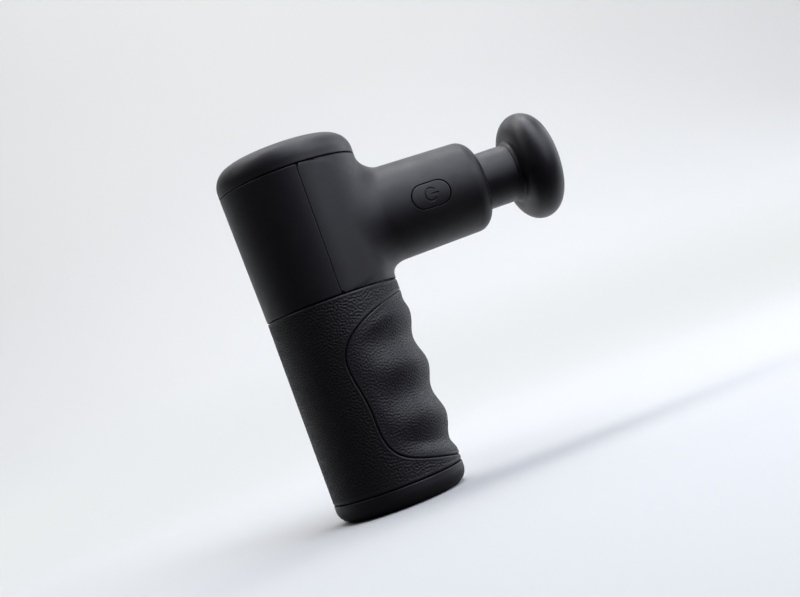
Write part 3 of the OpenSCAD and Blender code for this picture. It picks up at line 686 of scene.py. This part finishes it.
def top_cap():
    """A crowned cap, whose crown runs smoothly into a broad rounded edge."""
    seam = HOUSING_Z[1] + CAP_GAP
    top, edge_r, slope = CAP_HIGH[2], 7.1, math.radians(7)
    ceiling = top - 1.1 - WALL
    join = TOP_R - edge_r * (1 - math.sin(slope))
    curve = math.tan(slope) / (2 * join)
    centre = top - curve * join * join - edge_r * math.cos(slope)
    crown = [(top - curve * r * r, r) for r in np.linspace(0, join, 26)]
    edge = [(centre + edge_r * math.cos(a), TOP_R - edge_r * (1 - math.sin(a)))
            for a in np.linspace(slope, math.pi / 2, 26)[1:]]
    inside = TOP_R - WALL
    under = rounded([(edge[-1][0], TOP_R, 0), (seam, TOP_R, SEAM_R), (seam, inside, 0.2),
                     (ceiling, inside, 5.4), (ceiling, 0, 0)], 12)
    profile = np.vstack([crown, edge, under[1:]])
    return lathe("top_cap_shell", profile, "z", SOFT_TOUCH, "housing", ["top_cap"])


BASE_EDGE_R = 4.9
BASE_FLAT_R = 15.6  # radius of the base's flat middle, out to its rounded edge
PORT_FLAT, PORT_R = 3.0, 2.0  # the port's mouth: half its straight length, and its ends' radius
PORT_EDGE_R = 0.25


def bottom_cap():
    """A rounded cap whose base has the slotted mouth of the charging port."""
    seam, count = BASE_HIGH[2], 192
    outer = rounded([(seam - 3, BASE_R - WALL, 0), (seam, BASE_R - WALL, 0.2), (seam, BASE_R, SEAM_R),
                     (0, BASE_R, BASE_EDGE_R), (0, BASE_FLAT_R, 0)], 18)
    inner = rounded([(WALL, BASE_FLAT_R, 0), (WALL, BASE_R - WALL, 3.2), (seam - 3, BASE_R - WALL, 0)], 8)
    centre = np.array([(PORT_LOW[0] + PORT_HIGH[0]) / 2, 0.0])
    ring = turned(outer[-1:], count, "z")[0][:, :2]
    angle = np.arctan2(ring[:, 1] - centre[1], ring[:, 0] - centre[0])
    reach = stadium_reach(np.sin(angle), np.cos(angle), PORT_FLAT, PORT_R)
    mouth = centre + np.stack([reach * np.cos(angle), reach * np.sin(angle)], 1)
    away = ring - mouth
    length = np.linalg.norm(away, axis=1)[:, None]
    rings = [(t, 0) for t in (0.8, 0.6, 0.4, 0.25, 0.14, 0.07)]
    rings += [(along / length, down) for along, down in quarter(5, PORT_EDGE_R)]
    rings += [(t, WALL) for t in (0, 0.14, 0.4)]
    rings = [np.column_stack([mouth + away * t, np.full(count, height)]) for t, height in rings]
    points = np.vstack([turned(outer, count, "z")[0]] + rings + [turned(inner[:-1], count, "z")[0]])
    faces = grid_faces(len(points) // count, count, closed=True, loop=True)
    piece = mesh("bottom_cap_shell", points, faces, SOFT_TOUCH, "housing", ["bottom_cap"])
    return face_out(piece)


# ---- grip ----

# the finger pad's outline in side view, in three smooth arcs from the front over the side and back
PAD_ARCS = [((27, 68.4), (9, 64.6), (-6.6, 60), (-6.3, 48.5)),
            ((-6.3, 48.5), (-6.1, 42), (-4, 38.5), (-4, 29.5)),
            ((-4, 29.5), (-4, 13.5), (2, 14.8), (27, 7.6))]
GROOVE_PITCH = 18.0  # a finger's width, from ridge to ridge
RIDGE_Z = 26.0  # height of one ridge on the pad's sides
GROOVE_DROP = 2.6  # how much lower the fingers' lines run in front


def pad_outline():
    """The outline on the unrolled grip, as closed points (s, z) with s = 0 in front."""
    side = np.vstack([bezier(*arc, 160) for arc in PAD_ARCS])
    r = grip_r(side[:, 1])
    side = side[side[:, 0] < r * 0.9999]
    s = np.arccos(side[:, 0] / grip_r(side[:, 1])) * MID_R
    left = np.stack([-s, side[:, 1]], 1)
    right = np.stack([s, side[:, 1]], 1)[::-1]
    return resample(np.vstack([left, right, left[:1]]), 700)


def signed_distance(s, z, outline):
    """Distance to the outline on the unrolled grip, positive inside it."""
    a, b = outline[:-1], outline[1:]
    d = b - a
    points = np.stack([s.ravel(), z.ravel()], 1)
    parts = []
    for q in np.array_split(points, len(points) // 4000 + 1):
        p = q[:, None, :] - a[None]
        t = np.clip((p * d).sum(2) / (d * d).sum(1), 0, 1)
        near = np.sqrt(((p - t[..., None] * d) ** 2).sum(2).min(1))
        x, y = q[:, 0][:, None], q[:, 1][:, None]
        cross = (a[:, 1] > y) != (b[:, 1] > y)
        at = a[:, 0] + (y - a[:, 1]) * d[:, 0] / np.where(d[:, 1] == 0, 1e-12, d[:, 1])
        inside = (cross & (x < at)).sum(1) % 2 == 1
        parts.append(np.where(inside, near, -near))
    return np.concatenate(parts).reshape(s.shape)


GRIP_AROUND = 2 * math.pi * MID_R
GRIP_EDGE_R = 0.6  # rounding of the sleeve's ends
GRAIN = grain_field(GRIP_AROUND, GRIP_Z[1] + 3)
PAD_GRAIN, SLEEVE_GRAIN = 0.13, 0.19  # depth of their creases
SEAM_DEPTH, SEAM_SHALLOWER = 0.42, 0.2  # depth of the seam's groove, and how much it loses in front
GROOVE_MEAN = 0.35  # mean depth of the finger grooves, which go 1 mm either side of it


def grip_surface(s, z, edge, is_pad):
    """Points of the grip at unrolled (s, z), and their grain from 0 in the creases to 1 on the crests. The
    distance to the pad's seam is edge."""
    phi = s / MID_R
    rim = np.minimum(z - GRIP_Z[0], GRIP_Z[1] - z)
    fade = smooth(0.25, 1.5, edge) * smooth(0.6, 1.5, rim)
    height = sample(GRAIN, s, z, GRIP_AROUND)
    depth = (PAD_GRAIN if is_pad else SLEEVE_GRAIN) * fade
    r = grip_r(z) + height * depth
    # the seam's groove is shallow where it runs up to the front
    shallow = smooth(62.0, 66.0, z) * (1 - smooth(0.9, 1.5, np.abs(phi)))
    seam = SEAM_DEPTH - SEAM_SHALLOWER * shallow
    t = np.clip(seam - edge, 0, seam)
    r = r - (seam - np.sqrt(seam * seam - t * t))
    r = r - edge_inset(rim, GRIP_EDGE_R)
    if is_pad:
        across = np.degrees(np.abs(phi))
        relief = (1 - smooth(58, 102, across)) * smooth(0.6, 6.0, edge)
        line = z + GROOVE_DROP * (1 - smooth(0, 65, across))
        crest = np.cos(2 * math.pi * (line - RIDGE_Z) / GROOVE_PITCH)
        r = r - relief * (GROOVE_MEAN - crest)
    return np.stack([r * np.cos(phi), r * np.sin(phi), z], -1), 1 + height * fade


SLIVER = 0.01  # points closer to a cut than this are kept
NET_STEP = 3.0  # spacing of the inner walls' coarse nets


def clipped_grid(s, z, keep):
    """Cuts a grid by the zero line of keep, which is positive on the side to keep.
    Gives the (s, z) of every point, its keep and the faces."""
    rows, columns = keep.shape
    keep = np.where(np.abs(keep) < SLIVER, SLIVER, keep)
    points = [(a, b) for a, b in zip(s.ravel(), z.ravel())]
    value = list(keep.ravel())
    cut, faces = {}, []

    def crossing(a, b):
        key = (min(a, b), max(a, b))
        if key not in cut:
            t = value[a] / (value[a] - value[b])
            points.append(tuple(np.array(points[a]) * (1 - t) + np.array(points[b]) * t))
            value.append(0.0)
            cut[key] = len(points) - 1
        return cut[key]

    positive = keep > 0
    whole = positive[:-1, :-1] & positive[:-1, 1:] & positive[1:, 1:] & positive[1:, :-1]
    some = positive[:-1, :-1] | positive[:-1, 1:] | positive[1:, 1:] | positive[1:, :-1]
    for i, j in zip(*np.nonzero(whole)):
        k = i * columns + j
        faces.append((k, k + 1, k + columns + 1, k + columns))
    for i, j in zip(*np.nonzero(some & ~whole)):
        k = i * columns + j
        corners = (k, k + 1, k + columns + 1, k + columns)
        shape = []
        for a, b in zip(corners, corners[1:] + corners[:1]):
            if value[a] > 0:
                shape.append(a)
            if (value[a] > 0) != (value[b] > 0):
                shape.append(crossing(a, b))
        faces.append(tuple(shape))
    return np.array(points), np.array(value), faces


def open_edges(faces):
    """Edges that only one face uses, in that face's direction."""
    once = {}
    for face in faces:
        for a, b in zip(face, face[1:] + face[:1]):
            if once.pop((b, a), None) is None:
                once[(a, b)] = True
    return list(once)


def reached(faces, walls, start):
    """The faces that can be reached from one of them without crossing a wall edge."""
    meets = {}
    for index, face in enumerate(faces):
        for a, b in zip(face, face[1:] + face[:1]):
            meets.setdefault((min(a, b), max(a, b)), []).append(index)
    found, queue = {start}, [start]
    while queue:
        face = faces[queue.pop()]
        for a, b in zip(face, face[1:] + face[:1]):
            key = (min(a, b), max(a, b))
            fresh = [k for k in meets[key] if k not in found and key not in walls]
            found.update(fresh)
            queue += fresh
    return [faces[k] for k in sorted(found)]


def inner_wall(rim, side_of, half):
    """Fills a rim, given as (edges, points), with a coarse net of triangles on the unrolled grip. Gives its
    points, the rim's first, and its faces."""
    edges, spots = rim
    low, high = np.min(spots, 0), np.max(spots, 0)
    gs, gz = np.meshgrid(*(np.arange(low[k] + 1.5, high[k] - 1, NET_STEP) for k in (0, 1)))
    roomy = (side_of(gs, gz) > 1.0) & (np.abs(gs) < half - 1.0)
    spots = np.vstack([spots, np.stack([gs[roomy], gz[roomy]], 1)])
    net = delaunay_2d_cdt([Vector(p) for p in spots], edges, [], 0, 1e-7)
    at = np.array([tuple(v) for v in net[0]])
    faces = [tuple(f) for f in net[2]]
    walls = {(min(e), max(e)) for e, origin in zip(net[1], net[4]) if origin}
    middle = np.array([at[list(f)].mean(0) for f in faces])
    start = int(np.argmax(side_of(middle[:, 0], middle[:, 1])))
    source = [ids[0] for ids in net[3]]
    return spots, [tuple(source[k] for k in f) for f in reached(faces, walls, start)]


def grip_piece(name, s, z, side_of, is_pad, material):
    """A leather-grained skin cut along the pad's seam, closed by walls and a plain inner wall."""
    flat, value, faces = clipped_grid(s, z, side_of(s, z))
    half = GRIP_AROUND / 2
    points, grain = grip_surface(flat[:, 0], flat[:, 1], value, is_pad)
    # walls down from every open edge, apart from the sleeve's own closing line at the back
    wrap = np.abs(np.abs(flat[:, 0]) - half) < 1e-6
    rim = [(a, b) for a, b in open_edges(faces) if is_pad or not (wrap[a] and wrap[b])]
    low = {a: k for k, a in enumerate(dict.fromkeys(a for edge in rim for a in edge))}
    foot = flat[list(low)]
    if not is_pad:
        back = np.arange(GRIP_Z[0] + 3, GRIP_Z[1] - 2, NET_STEP)
        foot = np.vstack([foot, [(side * half, h) for side in (-1, 1) for h in back]])
    foot, inner = inner_wall(([(low[a], low[b]) for a, b in rim], foot), side_of, half)
    base = len(points)
    angle = foot[:, 0] / MID_R
    wall = np.stack([GRIP_IN_R * np.cos(angle), GRIP_IN_R * np.sin(angle), foot[:, 1]], 1)
    points = np.vstack([points, wall])
    grain = np.concatenate([grain, np.zeros(len(foot))])
    faces += [(b, a, base + low[a], base + low[b]) for a, b in rim]
    faces += [tuple(base + k for k in f) for f in inner]
    used = np.unique(np.concatenate([np.asarray(f) for f in faces]))
    piece = mesh(name + "_skin", points, faces, material, "housing", [name])
    # the grain attribute also paints shade: the creases take the material's dark tone
    layer = piece.data.attributes.new("grain", "FLOAT", "POINT")
    layer.data.foreach_set("value", np.clip(grain[used], 0, 1).astype(np.float32))
    return face_out(weld(piece))


OUTLINE = pad_outline()
SEAM_HALF, SEAM_CLOSES = 0.09, 0.06  # half the seam's width, and what it loses where it fades


def seam_gap(s, z):
    """Half the seam's width, which narrows where the seam fades at the top, near the front."""
    across = np.degrees(np.abs(s)) / MID_R
    loss = SEAM_CLOSES * smooth(62, 64.5, z) * smooth(22, 30, across) * (1 - smooth(50, 62, across))
    return SEAM_HALF - loss


def on_sleeve(s, z):
    """Distance from the seam, positive on the sleeve."""
    return -signed_distance(s, z, OUTLINE) - seam_gap(s, z)


def on_pad(s, z):
    """Distance from the seam, positive on the pad."""
    return signed_distance(s, z, OUTLINE) - seam_gap(s, z)


SKIN_STEPS = (0.255, 0.245)  # spacing of the grips' points round the body and up it


def grip():
    """The sleeve all round and the finger pad let into its front."""
    step_s, step_z = (step * 1.0 for step in SKIN_STEPS)
    near = edge_rows(GRIP_EDGE_R)
    z = np.concatenate([GRIP_Z[0] + near, np.arange(GRIP_Z[0] + 0.95, GRIP_Z[1] - 0.95, step_z),
                        GRIP_Z[1] - near[::-1]])
    s = np.linspace(-GRIP_AROUND / 2, GRIP_AROUND / 2, int(GRIP_AROUND / step_s) + 1)
    grip_piece("grip_sleeve", *np.meshgrid(s, z), on_sleeve, False, GRIP_RUBBER)
    limit = np.abs(OUTLINE[:, 0]).max() + 1
    s = np.arange(-limit, limit, step_s)
    z = np.arange(OUTLINE[:, 1].min() - 0.6, OUTLINE[:, 1].max() + 0.6, step_z)
    grip_piece("finger_pad", *np.meshgrid(s, z), on_pad, True, PAD_RUBBER)


# ---- button, head and drive ----

def polar(r, angle):
    """Points at radius r from the origin, one for each angle."""
    return np.stack([r * np.cos(angle), r * np.sin(angle)], 1)


SYMBOL_REACH = 2.9  # the fine rows of the button's face go this far out
SYMBOL_R, SYMBOL_GAP = 2.15, math.radians(42)
SYMBOL_BAR = (0.35, 2.45)  # from and to, in the gap of the ring
SYMBOL_STROKE, SYMBOL_SOFT, SYMBOL_DEPTH = 0.29, 0.07, 0.3
BUTTON_EDGE_R, BUTTON_DEPTH = 0.22, 2.4


def power_button():
    """A flush button with a generic power symbol pressed into it."""
    count = 288
    angle = circle(count)
    reach = button_reach(angle, 0.0)
    rim = reach - BUTTON_EDGE_R - SYMBOL_REACH
    rings = [(r, 0.0) for r in np.linspace(0.05, SYMBOL_REACH, 44)]
    rings += [(SYMBOL_REACH + rim * t, 0.0) for t in (0.3, 0.6, 0.85)]
    rings += [(reach - along, down) for along, down in quarter(6, BUTTON_EDGE_R)]
    rings.append((reach, BUTTON_DEPTH))
    points = []
    for radius, inset in rings:
        u, v = polar(radius, angle).T
        r, a = np.hypot(u, v), np.arctan2(v, u)
        arc = np.abs(r - SYMBOL_R) + 10 * np.maximum(0, SYMBOL_GAP - np.abs(a)) * (r > 1.4)
        bar = np.hypot(np.maximum(0, np.maximum(SYMBOL_BAR[0] - u, u - SYMBOL_BAR[1])), v)
        stroke = SYMBOL_STROKE - SYMBOL_SOFT, SYMBOL_STROKE + SYMBOL_SOFT
        mark = 1 - smooth(*stroke, np.minimum(arc, bar))
        points.append(on_barrel(BUTTON_X + u, v, inset + SYMBOL_DEPTH * mark * (inset == 0)))
    middle = np.array([BUTTON_X]), np.array([0.0])
    points = np.vstack(points + [on_barrel(*middle), on_barrel(*middle, BUTTON_DEPTH)])
    faces = grid_faces(len(rings), count, closed=True)
    last = (len(rings) - 1) * count
    faces += fan_faces(list(range(count)), len(points) - 2)
    faces += fan_faces(list(range(last, last + count)), len(points) - 1)
    piece = mesh("power_button_cap", points, faces, BUTTON_SATIN, "button", ["power_button"])
    return face_out(piece)


DISC_DEPTH, DISC_ROUND = 13.2, 7.0  # the disc's thickness, and how far in from its rim it is rounded
FOOT_DEPTH, BEAD = 1.4, 0.4  # length of the neck's bead, and how far it stands out


def massage_head():
    """Flat disc with a full rounded rim, on a neck whose foot has a small bead."""
    back, front = HEAD_HIGH[0] - DISC_DEPTH, HEAD_HIGH[0]
    flat = HEAD_HIGH[1] - DISC_ROUND
    centre = (back + front) / 2
    half = (front - back) / 2
    rim = [(centre - half * math.cos(a), flat + DISC_ROUND * math.sin(a))
           for a in np.linspace(0, math.pi, 60)]
    face = [(front, flat * (1 - t)) for t in np.linspace(0, 1, 14)[1:]]
    core_end, core_r = CORE_HIGH[0] + 0.02, 6.52
    foot, bead_r = back - FOOT_DEPTH, NECK_R + BEAD
    neck = rounded([(core_end, 0, 0), (core_end, core_r, 0.05), (HEAD_LOW[0], core_r, 0.2),
                    (HEAD_LOW[0], NECK_R, 0.3), (foot, NECK_R, 0.12), (foot, bead_r, 0.3),
                    (back, bead_r, 1.0), (back, flat, 0)], 10)
    return lathe("massage_head_body", np.vstack([neck, rim[1:], face]), "x", HEAD_SATIN, "head",
                 ["massage_head"], 256)


def head_core():
    """The plug that the piston's socket grips, with its ring's groove and an eased nose."""
    r, ring_r = CORE_HIGH[1], 0.85
    ring_x = (RING_LOW[0] + RING_HIGH[0]) / 2
    groove = [(ring_x - 1, r, 0.15), (ring_x - 1, r - 1, 0.3),
              (ring_x + 1, r - 1, 0.3), (ring_x + 1, r, 0.15)]
    plug = rounded([(CORE_LOW[0], 0, 0), (CORE_LOW[0], r, 0.8), *groove, (HEAD_LOW[0], r, 0.1),
                    (HEAD_LOW[0], 6.5, 0.1), (CORE_HIGH[0], 6.5, 0.4), (CORE_HIGH[0], 0, 0)], 5)
    lathe("head_core_plug", plug, "x", WAXY_BLACK, "head", ["head_core"], 144)
    ring = polar(ring_r, circle(24)) + [ring_x, r - ring_r]
    lathe("head_core_ring", ring, "x", SEAL_RUBBER, "head", ["head_ring"], 144, True)


def piston():
    """A tube with an eased socket in front and an open rear for the connecting rod's pin."""
    rear, front = PISTON_LOW[0], PISTON_HIGH[0]
    rear_r, socket_r = 8.5, 8.05
    rear_end, socket_end = 45.0, 46.5
    wall = rounded([(rear, rear_r, 0.3), (rear, NECK_R, 0.4), (front, NECK_R, 0.35), (front, socket_r, 0.45),
                    (socket_end, socket_r, 0.3), (socket_end, 0, 0)], 6)
    inner = rounded([(rear_end, 0, 0), (rear_end, rear_r, 0.6), (rear, rear_r, 0.3), (rear, 8.6, 0)], 6)
    profile = np.vstack([inner[:-1], wall])
    lathe("piston_tube", profile, "x", WAXY_BLACK, "piston_body", ["piston"], 160)


finish_cad_nodes()
front_housing()
rear_housing()
top_cap()
bottom_cap()
grip()
power_button()
massage_head()
head_core()
piston()


# ---- stage ----

VIEW_AZIMUTH, VIEW_ELEVATION, VIEW_ROLL = -12.5, -1.9, -20.1  # degrees
VIEW_TARGET, VIEW_DISTANCE = (22.4, 0, 64.7), 441
VIEW_LENS, VIEW_SENSOR = 58.2, 36
ROOM_LIGHT, ROOM_TINT = 0.03, (0.86, 0.82, 1.0)  # the dim room in front of the object
FAR_PAPER = (0.82, 0.85, 0.86)  # the paper's tone as it runs out of the studio light
FAR_START = (0.15, 0.6)  # metres out over which the paper takes that tone
FAR_HEIGHT = (0.01, 0.09)  # metres up over which it loses it again
PAPER_TONES = (0.60, 0.605, 0.605), (0.63, 0.635, 0.635)
FLOOR_FADE = (-80, 55)  # over this depth toward the camera the floor turns dark to the object
SWEEP_HALF, SWEEP_BACK, SWEEP_HEIGHT, SWEEP_CURVE = 3200, 1000, 2400, 700
BOX_AIM, BOX_DISTANCE, BOX_SIZE = (22, 0, 65), 700, 420
BOX_TINT = (0.86, 0.9, 1.0)
RING_WATTS, TOP_WATTS, RIM_WATTS = 1.0, 2.1, 0.5
# lights on the wall behind: name, place, aim, width and watts
WALL_LIGHTS = [("wall_wash", (0, 350, 1150), (0, 950, 150), 1200, 11),
               ("wall_wash_right", (1200, 300, 900), (1250, 950, 400), 800, 3),
               ("wall_wash_left", (-900, 250, 900), (-700, 800, 100), 800, 2)]
WALL_LIGHT_HEIGHT = 500


def light_rig():
    """Softboxes as (name, degrees round from the camera toward its right, degrees up, watts): a ring that
    sinks as it goes round from the front to the right, one low in front of it, one overhead, two rims."""
    ring = [(f"ring_{k}", 30 + 30 * k, 50 - 12 * k, RING_WATTS) for k in range(4)]
    rims = [(f"rim_{side}", turn, 50, RIM_WATTS) for side, turn in (("right", 150), ("left", -150))]
    return ring + rims + [("low", 45, 20, RING_WATTS), ("overhead", 60, 70, TOP_WATTS)]


def direction(azimuth, elevation):
    """A unit vector from the object: azimuth 0 looks along -Y and turns toward +X."""
    a, e = math.radians(azimuth), math.radians(elevation)
    return Vector((math.sin(a) * math.cos(e), -math.cos(a) * math.cos(e), math.sin(e)))


def node_math(nodes, links, kind, operation, a, b=None, output="Value"):
    """A math node of one kind, with b a socket, a constant vector or nothing."""
    node = nodes.new(kind)
    node.operation = operation
    links.new(a, node.inputs[0])
    if isinstance(b, tuple):
        node.inputs[1].default_value = b
    elif b is not None:
        links.new(b, node.inputs[1])
    return node.outputs[output]


def mix_shaders(nodes, links, share, first, second):
    """Mixes two shaders, by the share that the second one takes."""
    mix = nodes.new("ShaderNodeMixShader")
    for socket, value in zip(mix.inputs, (share, first, second)):
        links.new(value, socket)
    return mix.outputs["Shader"]


def paper():
    """Pale paper whose floor glows faintly far out, where the studio lights don't reach. In front, the floor
    looks pale to the camera but is nearly black to all other light, as if the room there were dark."""
    material, nodes, links, shader = node_material("paper_sweep")
    coords = nodes.new("ShaderNodeTexCoord")
    place = coords.outputs["Object"]
    tone = tint(nodes, links, noise(nodes, links, coords, 2.0), *PAPER_TONES)
    links.new(tone, shader.inputs["Base Color"])
    shader.inputs["Roughness"].default_value = 0.9
    flat = node_math(nodes, links, "ShaderNodeVectorMath", "MULTIPLY", place, (1.0, 1.0, 0.0), "Vector")
    away = node_math(nodes, links, "ShaderNodeVectorMath", "LENGTH", flat)
    height = node_math(nodes, links, "ShaderNodeVectorMath", "DOT_PRODUCT", place, (0.0, 0.0, 1.0))
    far = node_range(nodes, links, away, *FAR_START, 0, 1, "SMOOTHSTEP")
    low = node_range(nodes, links, height, *FAR_HEIGHT, 1, 0, "SMOOTHSTEP")
    glow = nodes.new("ShaderNodeEmission")
    glow.inputs["Color"].default_value = (*FAR_PAPER, 1)
    share = node_math(nodes, links, "ShaderNodeMath", "MULTIPLY", far, low)
    pale = mix_shaders(nodes, links, share, shader.outputs["BSDF"], glow.outputs["Emission"])
    dark = nodes.new("ShaderNodeBsdfDiffuse")
    dark.inputs["Color"].default_value = (0.02, 0.02, 0.02, 1)
    front = tuple(direction(VIEW_AZIMUTH, 0))
    toward = node_math(nodes, links, "ShaderNodeVectorMath", "DOT_PRODUCT", place, front)
    fade = (depth * MM for depth in FLOOR_FADE)
    lit = node_range(nodes, links, toward, *fade, 1, 0, "SMOOTHSTEP")
    seen = nodes.new("ShaderNodeLightPath").outputs["Is Camera Ray"]
    share = node_math(nodes, links, "ShaderNodeMath", "MAXIMUM", lit, seen)
    mixed = mix_shaders(nodes, links, share, dark.outputs["BSDF"], pale)
    links.new(mixed, nodes["Material Output"].inputs["Surface"])
    return material


def sweep():
    """A seamless floor that curves up behind the object, square to the view."""
    turn = math.radians(VIEW_AZIMUTH)
    across = np.linspace(-SWEEP_HALF, SWEEP_HALF, 13)
    section = rounded([(SWEEP_HALF, 0, 0), (-SWEEP_BACK, 0, SWEEP_CURVE),
                       (-SWEEP_BACK, SWEEP_HEIGHT, 0)], 40)
    points = [(t * math.cos(turn) + d * math.sin(turn), t * math.sin(turn) - d * math.cos(turn), h)
              for d, h in section for t in across]
    smooth_object("sweep", points, grid_faces(len(section), len(across)), paper())


def room():
    """A dim room, which the camera sees as pale as the paper."""
    world = bpy.data.worlds.new("studio")
    world.use_nodes = True
    nodes, links = world.node_tree.nodes, world.node_tree.links
    dim = nodes["Background"]
    dim.inputs["Color"].default_value = (*ROOM_TINT, 1)
    dim.inputs["Strength"].default_value = ROOM_LIGHT
    pale = nodes.new("ShaderNodeBackground")
    pale.inputs["Color"].default_value = (*FAR_PAPER, 1)
    seen = nodes.new("ShaderNodeLightPath").outputs["Is Camera Ray"]
    mixed = mix_shaders(nodes, links, seen, dim.outputs["Background"], pale.outputs["Background"])
    links.new(mixed, nodes["World Output"].inputs["Surface"])
    bpy.context.scene.world = world
    bpy.context.scene.view_settings.view_transform = "Standard"


def soft_box(name, place, aim, width, height, watts, colour=(1, 1, 1)):
    """A rectangular lamp at a place, turned to its aim."""
    light = bpy.data.lights.new(name, "AREA")
    light.shape = "RECTANGLE"
    light.size, light.size_y = width * MM, height * MM
    light.energy = watts
    light.color = colour
    place, aim = Vector(place) * MM, Vector(aim) * MM
    turn = (place - aim).to_track_quat("Z", "Y").to_matrix().to_4x4()
    add_object(name, light).matrix_world = Matrix.Translation(place) @ turn


def camera():
    """The viewpoint: nearly level, a little toward the rear, with the body leaning left in the frame."""
    roll = math.radians(VIEW_ROLL)
    back = direction(VIEW_AZIMUTH, VIEW_ELEVATION)
    right = (-back).cross(Vector((0, 0, 1))).normalized()
    up = right.cross(-back)
    r = right * math.cos(roll) + up * math.sin(roll)
    u = -right * math.sin(roll) + up * math.cos(roll)
    data = bpy.data.cameras.new("view")
    data.sensor_width, data.lens = VIEW_SENSOR, VIEW_LENS
    data.clip_start, data.clip_end = 0.01, 20
    eye = add_object("view", data)
    place = Vector(VIEW_TARGET) * MM + back * VIEW_DISTANCE * MM
    eye.matrix_world = Matrix.Translation(place) @ Matrix((r, u, back)).transposed().to_4x4()
    bpy.context.scene.camera = eye


sweep()
room()
for name, turn, height, watts in light_rig():
    place = Vector(BOX_AIM) + direction(VIEW_AZIMUTH + turn, height) * BOX_DISTANCE
    soft_box(name, place, BOX_AIM, BOX_SIZE, BOX_SIZE, watts, BOX_TINT)
for name, place, aim, width, watts in WALL_LIGHTS:
    soft_box(name, place, aim, width, WALL_LIGHT_HEIGHT, watts)
camera()
